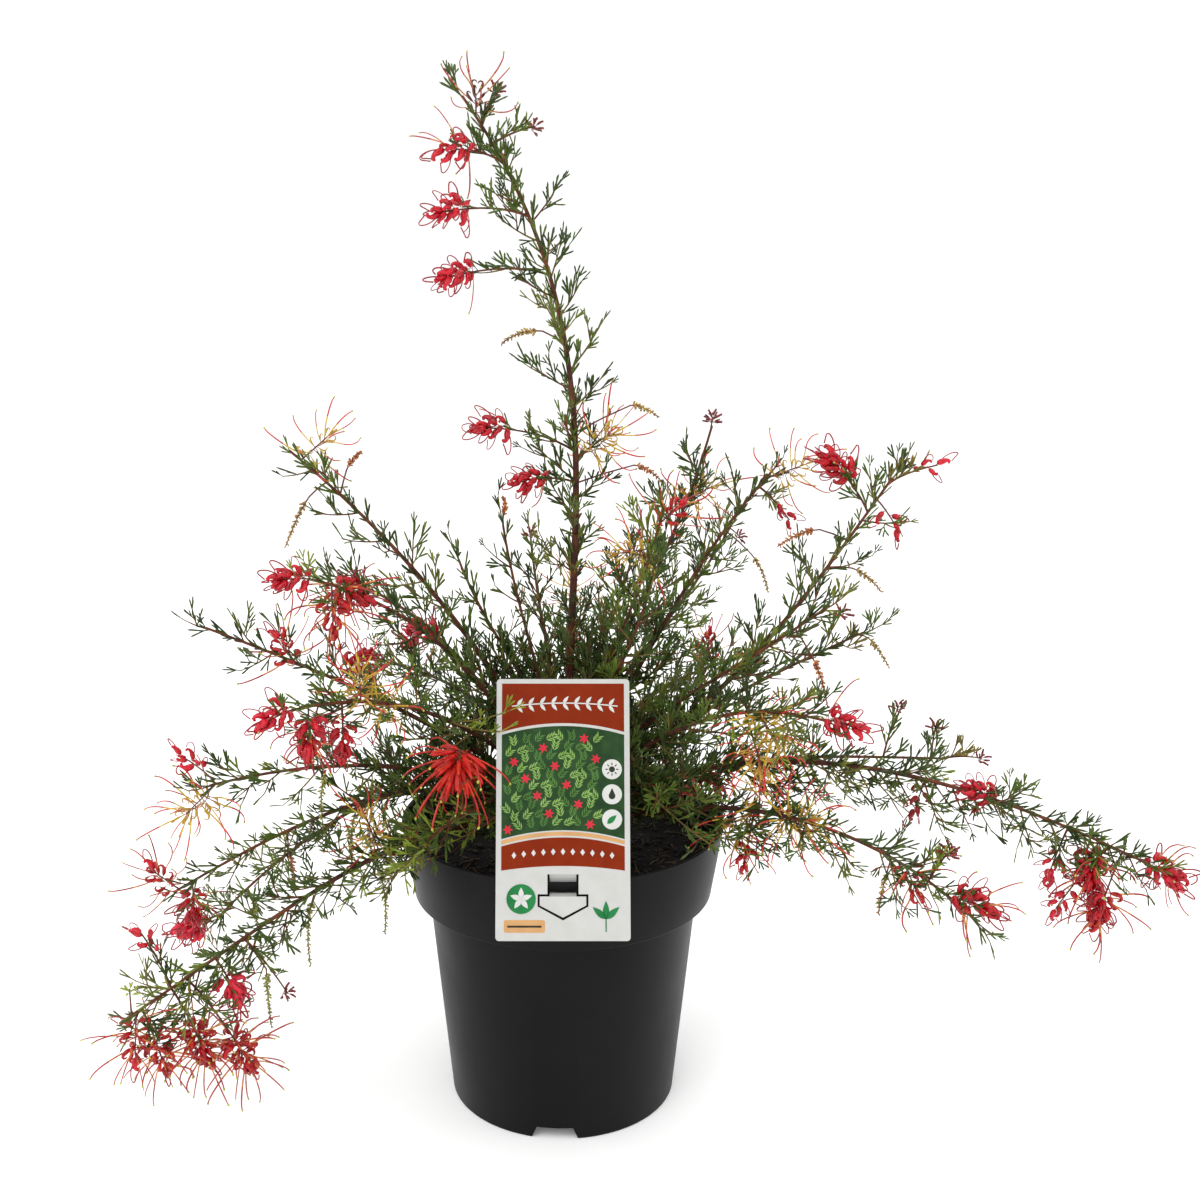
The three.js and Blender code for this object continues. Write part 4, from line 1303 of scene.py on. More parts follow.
def is_free(own, point, half):
    """Whether a point is clear of things, and nearer to its own bough than to the others."""
    if not clears_things(point, half):
        return False
    all_away = distances(point)
    own_away = all_away[own.index]
    all_away[own.index] = math.inf
    return all_away.min() > own_away + 2 * half + bough_clearance


def shoot_fits(own, start, way, length, width):
    """Whether a shoot, widest at its middle, has room all along."""
    checks = math.ceil(length / check_step)
    for i in range(1, checks + 1):
        share = i / checks
        half = width / 2 * (1 - abs(2 * share - 1))
        if not is_free(own, start + share * length * way, half + shoot_clearance):
            return False
    return True


# %% Side shoots
spray_spacing = 11.5
spray_length = 32
spray_width = 6
shortest_spray = 9
# degrees from the bough, and how many more chance may add
spray_lean = (44, 16)
spray_turn_scatter = 0.7
first_spray_at = 22
first_after_bare = 7
shorten_step = 4
tip_share = 0.985
golden_turn = math.radians(137.5)
up = np.array([0.0, 0.0, 1.0])


def spray_reach(share):
    """A side shoot's length by its place: longest near the middle of the bough."""
    return spray_length * (0.62 + 0.55 * math.sin(math.pi * min(1, 0.15 + share * 0.8)))


def side_shoots(bough):
    """The bough's side shoots: their share, start, way, length and turn."""
    draw = make_random(101 + bough.index)
    start_share = bough.bare + gap / bough.length if bough.bare > 0 else 0
    first = max(start_share + first_after_bare / bough.length, first_spray_at / bough.length)
    count = math.floor((1 - first) * bough.length / spray_spacing)
    shoots = []
    for i in range(count + 1):
        share = first + (tip_share - first) * i / count
        turn = i * golden_turn + draw() * spray_turn_scatter
        lean = math.radians(spray_lean[0] + spray_lean[1] * draw())
        last = i == count
        start = bough.point(share)
        along = bough.tangent(share)
        side = unit(np.cross(along, up))
        over = unit(np.cross(side, along))
        way = along if last else unit(
            math.cos(lean) * along + math.sin(lean) * math.cos(turn) * side
            + math.sin(lean) * math.sin(turn) * over)
        length = spray_reach(share) * (0.8 + 0.4 * draw())
        while length > shortest_spray and not shoot_fits(bough, start, way, length, spray_width):
            length -= shorten_step
        shoots.append((share, start, way, length, turn))
    return shoots


shoots_of = {bough.name: side_shoots(bough) for bough in boughs}
lengths = [shoot[3] for shoots in shoots_of.values() for shoot in shoots]
print("side shoots that fit:", sum(length > shortest_spray for length in lengths),
      "of", len(lengths))

# %% [markdown]
# ## Trunk, boughs and twigs
# Bark is a real relief here. Every limb is a line with a girth at each point, and the limb
# tree skins it with a ring and pushes the skin in and out by noise: coarse on the trunk,
# fine on the wiry boughs. Each bough starts inside the trunk with a thicker foot, as a
# living fork does. The trunk is grey-brown and the boughs are maroon, with rust tips. The
# twigs are rust or olive, dealt out one by one.

# %% Limbs
bark_grey = finish("bark_grey", (122, 98, 80), (66, 48, 40), 240, 0.9, softness=0.16,
                   grain=900, depth=0.8, stretch=0.25, Specular_IOR_Level=0.25)
bark_maroon = finish("bark_maroon", (90, 50, 34), (50, 26, 20), 160, 0.72, softness=0.2,
                     grain=1400, depth=0.5, stretch=0.4, Specular_IOR_Level=0.2)
bark_rust = finish("bark_rust", (110, 60, 36), (68, 35, 25), 150, 0.66, softness=0.2,
                   grain=1600, depth=0.4, Specular_IOR_Level=0.2)
bark_olive = finish("bark_olive", (120, 108, 52), (88, 68, 36), 150, 0.62, softness=0.2,
                    grain=1600, depth=0.4, Specular_IOR_Level=0.2)

all_boughs = [f"bough_{b.name}" for b in boughs if b.bare > 0]
all_masses = [f"foliage_{b.name}" for b in boughs]
old_wood_share = 0.62
wood_overlap = 0.01
# how deep a bough's foot reaches into the trunk, and how much thicker it starts
foot_depth = 0.8
foot_growths = (1.2, 1.12)


def trunk_line():
    """The trunk's middle line and its girths, from the mix to its top."""
    heights = [gap, 1.5, 3, 5, 8, 12, 17, 24, 32, 40, 48, 56, 64, trunk_height]
    path = [trunk_centre(h) for h in heights]
    girths = [trunk_radius(h) for h in heights]
    return path, girths


def limb_line(bough, start, end, steps):
    """A stretch of a bough, which reaches into the trunk where it starts at the seat."""
    shares = [start + (end - start) * i / steps for i in range(steps + 1)]
    path = [bough.point(s) for s in shares]
    girths = [bough.radius(s) for s in shares]
    if start == 0:
        inward = -unit(bough.knots[1] - bough.knots[0])
        path.insert(0, path[0] + inward * (trunk_radius(bough.seat) * foot_depth))
        girths.insert(0, girths[0] * foot_growths[0])
        girths[1] *= foot_growths[1]
    return path, girths


trunk_mesh = limbs_from("trunk_bark", [trunk_line()], bark_grey, 28, 0.9, 260)
dress("trunk_bark", trunk_mesh, ["trunk"])
old_lines = [limb_line(b, 0, old_wood_share, 26) for b in boughs]
young_lines = [limb_line(b, old_wood_share - wood_overlap, 1, 16) for b in boughs]
dress("bough_bark", limbs_from("bough_bark", old_lines, bark_maroon, 10, 0.35, 700),
      all_boughs)
dress("stem_bark", limbs_from("stem_bark", young_lines, bark_rust, 7, 0.2, 900))


# %% [markdown]
# ## Shoots and leaves
# Each side shoot of the imported model becomes a real twig, a little shorter than its
# solid so that the leaves at its end reach just as far. A leaf is forked like a small
# antler: a stalk that splits into two, three or four narrow prongs. Five such forms, of
# twenty to fifty faces each, stand along the twigs in mixed order and turn up to the
# light. The tint is dealt out by spray: darker greens inside the shrub and low by the pot,
# fresher ones towards the tips. The darker greens are painted shade; the change towards
# the tips is partly that painted shade and partly younger growth.

# %% Leaf forms
def prong(start, way, length, width):
    """A slim three-sided prong with a blunt tip."""
    start, way = Vector(start), Vector(way).normalized()
    path = [start, start + way * length * 0.82, start + way * length]
    return tube(path, (width * 0.42, width * 0.54, width * 0.16), 3)


def lean_way(angle, twist=0.0):
    """A direction in the leaf's own plane, at an angle from its stalk."""
    return (math.sin(math.radians(angle)), twist, math.cos(math.radians(angle)))


def leaf_stalk(height, width):
    return tube([(0, 0, -0.6), (0, 0, height)], (0.4 * width, 0.36 * width), 3)


def forked_leaf(stalk, prongs, width=1.6):
    """A stalk and prongs, each with its height on the stalk, angle, length and twist."""
    parts = [leaf_stalk(stalk, width)]
    for height, angle, length, twist in prongs:
        parts.append(prong((0, 0, height), lean_way(angle, twist), length, width))
    return joined(parts)


def antler_leaf(stalk, spread, arm, length, width=1.6):
    """A stalk with two arms that each split in two."""
    parts = [leaf_stalk(stalk, width)]
    for side in (-1, 1):
        fork = Vector((0, 0, stalk)) + Vector(lean_way(side * spread)) * arm
        parts.append(tube([(0, 0, stalk - 0.2), fork], (0.36 * width, 0.36 * width), 3))
        parts.append(prong(fork, lean_way(side * (spread - 16), 0.1), length, width))
        parts.append(prong(fork, lean_way(side * (spread + 16), -0.08), length * 0.85, width))
    return joined(parts)


leaf_forms = [
    forked_leaf(5, [(4.8, -19, 10.5, 0.05), (4.9, 3, 12.5, -0.08), (4.6, 23, 9.5, 0.08)]),
    forked_leaf(6.5, [(4, 30, 8.5, -0.1), (6.2, -14, 10, 0.05), (6.2, 12, 9, -0.05)]),
    forked_leaf(5.5, [(5.2, -13, 12.5, 0.06), (5.2, 14, 11, -0.06)]),
    antler_leaf(4.5, 19, 4, 9),
    forked_leaf(3, [(2.6, 4, 16, 0.04), (2.8, 26, 9, -0.1)]),
]
leaf_shapes = shapes_from("leaf", leaf_forms)
leaf_reach = 16.5
print("faces of each leaf:", [len(faces) for _, faces in leaf_forms])

# %% Leaf tints
leaf_skin = {"grain": 1800, "depth": 0.3, "Specular_IOR_Level": 0.2}
# light and dark colour, size of the patches and roughness of each tint
tint_looks = {
    # shade is the darkest green, a painted shade for leaves deep inside the shrub and low by the
    # pot
    "shade": ((58, 75, 30), (38, 51, 20), 130, 0.58),
    "deep": ((72, 91, 33), (44, 61, 22), 130, 0.56),
    "mid": ((92, 109, 39), (63, 82, 28), 130, 0.54),
    "olive": ((114, 119, 43), (83, 90, 33), 120, 0.54),
    "fresh": ((128, 143, 47), (97, 115, 37), 120, 0.52),
    "grey": ((82, 97, 48), (57, 70, 35), 130, 0.6),
    "bronze": ((128, 114, 48), (98, 82, 36), 120, 0.52),
}
tints = {name: finish(f"leaf_{name}", *look, **leaf_skin) for name, look in tint_looks.items()}
# for each tint, its share at a bough's foot and at its tip; the larger share of the shade and deep
# greens at the foot is painted shade inside the shrub
tint_shares = {"shade": (0.36, 0.14), "deep": (0.3, 0.34), "mid": (0.2, 0.26),
               "olive": (0.05, 0.11), "fresh": (0.01, 0.06), "grey": (0.07, 0.07),
               "bronze": (0.01, 0.02)}
print("leaf tints:", ", ".join(tints))


def pick_tint(share, draw):
    """A tint for one spray: darker at a bough's foot, as painted shade inside the shrub, and
    fresher towards the tips.
    """
    weights = {name: foot + (tip - foot) * share for name, (foot, tip) in tint_shares.items()}
    left = draw() * sum(weights.values())
    for name, weight in weights.items():
        left -= weight
        if left <= 0:
            return name
    return "mid"


# %% Leaves along a path
leaf_spots = {name: [] for name in tints}
twig_lines = {"rust": [], "olive": []}
reach_low = np.array(cad_box[0]) / MM
reach_high = np.array(cad_box[1]) / MM
reach_margin = 8 + 0.02 * (reach_high - reach_low)
tip_clearance = 0.5
# how far before the card, and how far in from its upper left corner, a sprig may hang
before_card = 3
card_corner = (17, 62)
bloom_spheres = []


def has_room(point):
    """Whether a leaf or style may end here: in the shrub's reach and clear of hard things."""
    if np.any(point < reach_low - reach_margin) or np.any(point > reach_high + reach_margin):
        return False
    if clears_things(point, tip_clearance):
        return True
    from_tag = Vector(point) - tag_foot
    return (from_tag.dot(tag_out) > before_card and from_tag.x < card_corner[0] - tag_width / 2
            and from_tag.dot(tag_up) > tag_height - card_corner[1])


def beside_blooms(point):
    """Whether a point is outside every bloom."""
    return all(np.linalg.norm(point - centre) > radius for centre, radius in bloom_spheres)


def any_across(way):
    """A level direction across a way."""
    side = np.cross(way, up)
    return unit(side) if np.linalg.norm(side) > 0.05 else np.array([1.0, 0.0, 0.0])


def round_way(way, turn, lean):
    """A direction at a lean from way, turned about it."""
    side = any_across(way)
    over = np.cross(side, way)
    return unit(math.cos(lean) * way
                + math.sin(lean) * (math.cos(turn) * side + math.sin(turn) * over))


first_leaf_at = 0.06
leaf_scatter = 14
tip_leaf_loss = 0.22


def add_leaves(path, spacing, sizes, tint, draw, leans=(50, 24), to_light=0.42):
    """Leaves round a path at even steps, by the golden angle, that close up to its end."""
    steps = [np.linalg.norm(b - a) for a, b in zip(path, path[1:])]
    total = sum(steps)
    count = max(2, round(total / spacing))
    turn = 2 * math.pi * draw()
    for i in range(count + 1):
        want = total * (first_leaf_at + (1 - first_leaf_at) * i / count)
        k = 0
        while k < len(steps) - 1 and want > steps[k]:
            want -= steps[k]
            k += 1
        along = unit(path[k + 1] - path[k])
        place = path[k] + along * min(want, steps[k])
        turn += golden_turn
        share = i / count
        lean = leans[0] + (leans[1] - leans[0]) * share + leaf_scatter * (draw() - 0.5)
        way = unit(round_way(along, turn, math.radians(lean)) + to_light * up)
        size = drawn(sizes, draw) * (1 - tip_leaf_loss * share)
        spin = round_way(way, 2 * math.pi * draw(), math.pi / 2)
        tip = place + way * leaf_reach * size
        if has_room(tip) and beside_blooms(tip):
            leaf_spots[tint].append((place, way, spin, size, int(draw() * len(leaf_forms))))


def shoot_path(start, way, length, lift=0.18, steps=6):
    """A twig that leaves low and turns up towards its end."""
    return [start + way * length * t + up * lift * length * (t * t - t) for t in evenly(steps)]


twig_share = 0.8
twig_spacing = 6.1
stem_spacing = 5
twig_leaves = (0.6, 0.92)
stem_leaves = (0.64, 1)
twig_tip_girth = 0.3
olive_wood_share = 0.6
side_twig_lift = 0.3


def add_twig(path, tint, draw, thick):
    """The wood of a twig, always olive where its leaves are young."""
    girths = [thick + (twig_tip_girth - thick) * i / (len(path) - 1) for i in range(len(path))]
    young = tint in ("fresh", "olive", "bronze")
    wood = "olive" if young or draw() < olive_wood_share else "rust"
    twig_lines[wood].append((path, girths))


def add_shoot(start, way, length, tint, draw, side_twigs=0, spacing=twig_spacing):
    """A leafy twig, with side twigs where it is long."""
    path = shoot_path(start, way, length * twig_share)
    add_twig(path, tint, draw, 0.45 + 0.005 * length)
    add_leaves(path, spacing, twig_leaves, tint, draw)
    turn = 2 * math.pi * draw()
    for i in range(side_twigs):
        k = 1 + round((len(path) - 3) * (i + 0.5) / side_twigs)
        along = unit(path[k + 1] - path[k])
        turn += golden_turn
        lean = math.radians(38 + 10 * draw())
        side_way = unit(round_way(along, turn, lean) + side_twig_lift * up)
        add_shoot(path[k], side_way, length * (0.34 + 0.18 * draw()), tint, draw, 0, spacing)


def stays_clear(start, way, length):
    """Whether a shoot is clear of things at three places, the last one its tip."""
    return all(clears_things(start + way * length * t, 2) for t in (0.3, 0.65, 1))


# %% Growth on each bough
between_wish = 0.12
side_twig_every = 21
inner_step = 28
inner_lean = (24, 58)
inner_length = (34, 70)
inner_lift = 0.45
# the height under which, and the share of inner shoots for which, leaves take the darkest green as
# painted shade
painted_shade_height = 262
painted_shade_share = 0.7
least_foot = 0.14
least_inner = 0.22
thin_bough = 0.3
stem_parts = 5
hanging_growth = 1.35
# how full a bough is where the photograph is more open or fuller than the rule
fullness = {"leader": 0.85, "up_left": 0.4, "left_high": 0.7, "left_mid": 0.65, "left_long": 0.55,
            "left_low": 0.8, "left_flat": 0.65, "left_droop": 0.5, "left_mid_droop": 0.7,
            "low_left": 1.3, "mid_up_left": 0.3, "short_left": 0.4, "upright": 0.45,
            "right_up": 0.7, "right_mid": 0.7, "right_slim": 0.15, "right_low": 1.2,
            "right_near": 1.2, "right_long": 1.1, "right_fork": 1.1, "front_up": 1.2,
            "front_left": 1.8, "front_right": 2.4, "bud_up": 1.3, "spider_up": 1.2,
            "upright_back": 1.2}
# how many more shoots grow on a bough's foot than the rule asks for
foot_growth = {"left_flat": 2, "left_droop": 2.4, "left_mid_droop": 2, "left_long": 1.6,
               "right_low": 2.4, "right_slim": 2.4, "right_long": 2, "right_near": 1.6}
# boughs whose leaves are fresher than the rule deals out
fresh_boughs = {"low_left": 0.45, "left_droop": 0.3, "left_mid_droop": 0.3, "left_flat": 0.3}
# from what share of the gaps between a bough's shoots a fine twig hangs
hanging = {"right_long": 1, "right_low": 0.4, "right_slim": 0.5, "low_left": 0.8,
           "left_droop": 0.2}
# the share of a bough at which its leaves end, where a bloom takes its tip
leafy_to = {"bud_up": 0.9, "low_left": 0.94}


def grow_between(bough, share, turn, draw, hangs):
    """A finer twig between two side shoots: to the side, or hanging."""
    start, along = bough.point(share), bough.tangent(share)
    way = round_way(along, turn, math.radians(36 + 16 * draw()))
    if hangs:
        way = unit(0.5 * along + 0.3 * way - up)
    length = spray_reach(share) * (0.5 + 0.4 * draw()) * (hanging_growth if hangs else 1)
    if stays_clear(start, way, length):
        add_shoot(start, way, length, pick_tint(share, draw), draw)


def grow_bough(bough):
    """Twigs and leaves of one bough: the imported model's shoots, finer ones and its own stem."""
    draw = make_random(701 + bough.index)
    shoots = shoots_of[bough.name]
    full = fullness.get(bough.name, 1)
    open_up = 1 / math.sqrt(min(1, full))
    stem_open = 1 if full > thin_bough else open_up
    fresher = fresh_boughs.get(bough.name, 0)
    first, last = max(bough.bare, least_foot), leafy_to.get(bough.name, 1)
    for share, start, way, length, turn in shoots:
        side_twigs = round(length / side_twig_every * full) if bough.bare > 0 or full > 1 else 0
        kept_share = 0.4 + 0.6 * full
        if bough.name in hanging and way[2] > 0.2:
            kept_share = 0.4
        if share <= last and length > shortest_spray and draw() < kept_share:
            add_shoot(start, way, length, pick_tint(share + fresher, draw), draw, side_twigs,
                      twig_spacing * open_up)
    for before, after in zip(shoots, shoots[1:]):
        share = (before[0] + after[0]) / 2
        turn = before[4] + math.pi * (0.6 + 0.8 * draw())
        if draw() < between_wish * full * full:
            grow_between(bough, share, turn, draw, False)
        if draw() < hanging.get(bough.name, 0):
            grow_between(bough, share, turn, draw, True)
    for i in range(stem_parts):
        low = first + (last - first) * i / stem_parts
        high = first + (last - first) * (i + 1) / stem_parts
        path = [bough.point(low + (high - low) * k / 6) for k in range(7)]
        add_leaves(path, stem_spacing * stem_open, stem_leaves,
                   pick_tint((low + high) / 2 + fresher, draw), draw, (38, 26))


def grow_inside(bough):
    """Leafy shoots on the bough's foot, that fill the middle of the shrub. Low down most of them
    take the darkest green, as painted shade.
    """
    draw = make_random(801 + bough.index)
    last = max(bough.bare, least_inner)
    more = foot_growth.get(bough.name, max(1, fullness.get(bough.name, 1)))
    count = round(last * bough.length / inner_step * more)
    for i in range(1, count + 1):
        share = last * i / count
        start, along = bough.point(share), bough.tangent(share)
        lean = math.radians(drawn(inner_lean, draw))
        way = unit(round_way(along, 2 * math.pi * draw(), lean) + inner_lift * up)
        length = drawn(inner_length, draw)
        if stays_clear(start, way, length):
            # low in the shrub the darkest green is painted shade
            shaded = start[2] < painted_shade_height and draw() < painted_shade_share
            tint = "shade" if shaded else pick_tint(0.1, draw)
            add_shoot(start, way, length, tint, draw, side_twigs=3)


def shoot_to(bough, share, target, tint, draw, side_twigs=0):
    """A shoot from a share of a bough whose twig ends at a target."""
    start = bough.point(share)
    offset = np.array(target) - start
    add_shoot(start, unit(offset), np.linalg.norm(offset) / twig_share, tint, draw, side_twigs)


def grow_over_tag():
    """Two sprigs of left_low that hang in front of the card's corner."""
    draw = make_random(977)
    for across, height, out in ((9, 128, 11), (3, 116, 9)):
        target = tag_foot + Vector((across - half_tag, 0, 0)) + height * tag_up + out * tag_out
        shoot_to(bough_named["left_low"], 0.47, target, "fresh", draw)


# bough, share along it, place of the tip and tint of each sprig over the pot's rim
rim_sprigs = [
    ("front_left", 0.35, (-70, -84, 196), "fresh"), ("front_left", 0.62, (-96, -76, 192), "fresh"),
    ("front_left", 0.85, (-100, -96, 180), "olive"), ("front_left", 0.3, (-88, -62, 198), "mid"),
    ("low_left", 0.3, (-104, -54, 186), "mid"), ("low_left", 0.36, (-98, -84, 176), "olive"),
    ("front_right", 0.65, (86, -84, 196), "mid"), ("right_low", 0.3, (84, -76, 194), "deep"),
    ("right_low", 0.36, (104, -66, 184), "mid"),
    ("left_flat", 0.3, (-98, -30, 238), "mid"), ("front_left", 0.45, (-84, -66, 238), "deep"),
    ("left_low", 0.4, (-92, -48, 248), "mid"), ("right_near", 0.4, (84, -50, 248), "mid"),
    ("right_low", 0.24, (96, -40, 240), "deep"), ("front_right", 0.5, (78, -72, 240), "deep"),
    ("right_long", 0.25, (112, -30, 238), "mid"),
]


def grow_over_rim():
    draw = make_random(983)
    for name, share, target, tint in rim_sprigs:
        shoot_to(bough_named[name], share, target, tint, draw, 2)


# %% [markdown]
# ## Blossom
# A bloom is a cluster of small flowers on a short axis, mostly ten to thirty of them.
# Closed flowers look like a net: a swollen crimson tube curls over, and the style bows out
# of its back as a narrow loop. Open flowers make the spider: the style has sprung free,
# long and thin with a lime knob. Young racemes are curved rows of tiny buds. Each flower
# part is one small shape, set on the same spots, so that tube, loop, style and knob stay
# together.

# %% Flower forms
def smooth_path(knots, steps):
    """Points on a smooth curve through the knots."""
    knots = [Vector(k) for k in knots]
    padded = [2 * knots[0] - knots[1]] + knots + [2 * knots[-1] - knots[-2]]
    result = []
    spans = len(knots) - 1
    for share in evenly(steps):
        t = share * spans
        k = min(int(t), spans - 1)
        t -= k
        a, b, c, d = padded[k:k + 4]
        result.append(0.5 * (2 * b + (c - a) * t + (2 * a - 5 * b + 4 * c - d) * t * t
                             + (3 * b - a - 3 * c + d) * t ** 3))
    return result


def eased(values, count):
    """A list of values stretched to a count."""
    spread = np.interp(np.linspace(0, 1, count), np.linspace(0, 1, len(values)), values)
    return [float(value) for value in spread]


def knob(centre, way, radius, length, sides=5):
    """A small egg-shaped body along a direction."""
    centre, way = Vector(centre), Vector(way).normalized()
    shares = (-1, -0.6, 0, 0.6, 1)
    path = [centre + way * length / 2 * s for s in shares]
    return tube(path, [radius * max(0.15, math.sqrt(1 - s * s)) for s in shares], sides)


def pedicel():
    return tube([(0, 0, -0.8), (0.15, 0, 1.6), (0, 0, 3.2)], (0.32, 0.32, 0.45), 4)


def closed_petals(bend):
    """The swollen tube of a closed flower, curled over at its end."""
    knots = [(0, 0, 2.6), (0, 0, 3.6), (0.1, 0, 5.5), (0.5, 0, 7.8), (1.2 * bend, 0, 9.9),
             (2.3 * bend, 0, 11.4), (3.5 * bend, 0, 11.7), (4.4 * bend, 0, 10.9),
             (4.6 * bend, 0, 10)]
    return tube(knots, (0.5, 1.8, 2.45, 2.35, 1.75, 1.3, 1.35, 1.1, 0.4), 6)


def closed_loop(bend, reach):
    """The style of a closed flower, held at both ends."""
    knots = [(-1.1, 0, 7.2), (-1.9, 0.2, 11.5), (-1.6, 0.4, 15.6 * reach), (-0.2, 0.4, 19 * reach),
             (1.7 * bend, 0.2, 19.3 * reach), (3 * bend, 0, 16.8), (4.4 * bend, 0, 13.4)]
    return tube(smooth_path(knots, 12), [0.5] * 13, 4)


def open_petals(bend, girth=1.0):
    """The rolled-back tube of an open flower."""
    knots = [(0, 0, 2.8), (0, 0, 4.6), (0.2, 0, 6.8), (0.8, 0, 8.9), (2.0 * bend, 0, 10.1),
             (3.3 * bend, 0, 9.8), (4.0 * bend, 0, 8.6), (3.6 * bend, 0, 7.6)]
    radii = (0.45, 1.25, 1.55, 1.25, 0.95, 0.8, 0.6, 0.25)
    return tube(knots, [radius * girth for radius in radii], 6)


def straight_petals(bend):
    """The long tube of a flower in the hanging bloom before the pot."""
    knots = [(0, 0, 2.8), (0, 0, 5.4), (0.2, 0, 9), (0.5, 0, 12.5), (0.9 * bend, 0, 15.5),
             (1.6 * bend, 0, 17.6)]
    return tube(knots, (0.6, 1.35, 1.55, 1.3, 1.0, 0.35), 6)


def style_knots(reach, bow):
    """The line of a free style, from the flower to its knob."""
    return [(-0.3, 0, 6), (-1.0, 0, 11.5), (-1.2 - bow * 0.4, 0, 17.4 * reach),
            (-0.9 - bow * 0.8, 0, 24 * reach), (0.1 - bow * 0.6, 0, 29.6 * reach),
            (1.5, 0, 32.6 * reach)]


style_forms = [(1.0, 0.4), (0.86, 2.2), (1.06, -0.5)]
style_steps = 14
style_split = 6


def style_part(reach, bow, low):
    """The pale lower part of a style, or its darker upper one."""
    path = smooth_path(style_knots(reach, bow), style_steps)
    radii = eased((0.46, 0.56, 0.52, 0.4), style_steps + 1)
    cut = slice(0, style_split + 1) if low else slice(style_split, style_steps + 1)
    return tube(path[cut], radii[cut], 4)


def style_knob(reach, bow):
    path = smooth_path(style_knots(reach, bow), style_steps)
    way = path[-1] - path[-2]
    return knob(path[-1] + way.normalized() * 0.5, way + Vector((0.6, 0, 0)), 0.72, 1.8)


def club_bud(bend):
    """A small bud on its stalk, for a head of buds that is about to open."""
    path = [(0, 0, 0), (0, 0, 2.6), (0.1, 0, 3.4), (0.4 * bend, 0, 5.0), (1.1 * bend, 0, 6.6),
            (1.9 * bend, 0, 7.4), (2.4 * bend, 0, 7.4)]
    return tube(path, (0.26, 0.3, 0.7, 0.95, 0.75, 0.9, 0.3), 5)


def hooked_bud(bend):
    """One of the many tiny buds of a young raceme."""
    path = [(0, 0, 0), (0, 0, 0.9), (0.2, 0, 1.8), (0.8 * bend, 0, 2.5), (1.3 * bend, 0, 2.3)]
    return tube(path, (0.22, 0.6, 0.75, 0.55, 0.2), 4)


bends = (1.0, 1.2, 0.8)
loop_reaches = (1.0, 0.92, 1.06)
pedicel_shapes = shapes_from("pedicel", [pedicel()] * len(bends))
closed_petal_shapes = shapes_from("closed_petal", [closed_petals(b) for b in bends])
closed_loop_shapes = shapes_from("loop", [closed_loop(b, r) for b, r in zip(bends, loop_reaches)])
open_petal_shapes = {
    "red": shapes_from("red_petal", [open_petals(b) for b in bends]),
    "gold": shapes_from("gold_petal", [open_petals(b, 0.52) for b in bends]),
    "old": shapes_from("old_petal", [open_petals(b, 0.7) for b in bends]),
    "vivid": shapes_from("vivid_petal", [straight_petals(b) for b in bends])}
style_low_shapes = shapes_from("style_low", [style_part(*form, True) for form in style_forms])
style_high_shapes = shapes_from("style_high", [style_part(*form, False) for form in style_forms])
knob_shapes = shapes_from("knob", [style_knob(*form) for form in style_forms])
club_shapes = shapes_from("club", [club_bud(b) for b in bends])
hook_shapes = shapes_from("hook", [hooked_bud(b) for b in bends])
print("forms of each flower part:", len(bends))

# %% Blossom spots
closed_spots = {name: [] for name in ("crimson", "rose", "wine", "pink")}
open_spots = {name: [] for name in ("red", "gold", "old", "vivid")}
club_spots = {"maroon": [], "lime": []}
hook_spots = {"olive": [], "bronze": [], "pale": []}
stalk_lines = []
style_reach = 33
tube_reach = 20
leafy_stalk = 14
stalk_lift = 0.12
flower_scatter = 24
bloom_room = 11
hanging_bloom_room = 28
raceme_sag = 0.4
raceme_sway = 0.14
bud_spacing = 0.6
head_buds = 9

# closed flowers, open flowers, half angle, axis, flower size, lift and tint of the open
# ones, for each kind of bloom
cluster_plans = {
    "net": (13, 1, 78, 13, 0.76, -0.35, "red"),
    "pink": (13, 1, 84, 10, 0.92, 0.1, "red"),
    "brush": (11, 8, 88, 14, 0.82, -0.5, "red"),
    "burst": (3, 24, 112, 17, 0.82, -0.2, "red"),
    "spider": (1, 12, 92, 13, 0.84, 0.6, "red"),
    "sunny": (0, 19, 108, 14, 0.8, 0.4, "gold"),
    "old": (0, 10, 74, 9, 0.84, 1.6, "old"),
    "vivid": (0, 32, 82, 8, 1.04, -1.5, "vivid"),
}
other_lifts = {"bud": 0.6, "lime": 0.6, "catkin": -0.3, "spent": -4}


def bloom_seat(bough, bloom):
    """The bloom's place, the foot of its stalk on the stem and the way it faces."""
    kind, share, out, rise = bloom[:4]
    root = bough.point(min(share, tip_share))
    seat = bough.point(share) + out * heading(bough.turn)
    seat[2] += rise
    stalk = seat - root
    far = np.linalg.norm(stalk)
    level = bough.tangent(share) if far < 2 else stalk / far
    lift = cluster_plans[kind][5] if kind in cluster_plans else other_lifts[kind]
    if kind == "spider" and rise < 0:
        lift = -lift
    return root, seat, unit(0.8 * level + lift * up)


def add_stalk(root, seat, face, axis, draw):
    """The stalk from the stem, which runs on as the cluster's axis. A long one is leafy."""
    far = np.linalg.norm(seat - root)
    middle = (root + seat) / 2 + stalk_lift * far * up
    path = [bent(root, middle, seat + face * axis, t) for t in evenly(8)]
    if far < leafy_stalk:
        stalk_lines.append((path, eased((0.6, 0.5, 0.4), len(path))))
        return
    tint = pick_tint(0.8, draw)
    twig_lines["rust"].append((path, eased((0.8, 0.6, 0.45), len(path))))
    add_leaves(path[:7], twig_spacing, twig_leaves, tint, draw, (44, 34), 0.6)
    for k in (2, 4):
        way = unit(round_way(unit(path[k + 1] - path[k]), 2 * math.pi * draw(), 0.7) + 0.5 * up)
        add_shoot(path[k], way, far * 0.35, tint, draw)


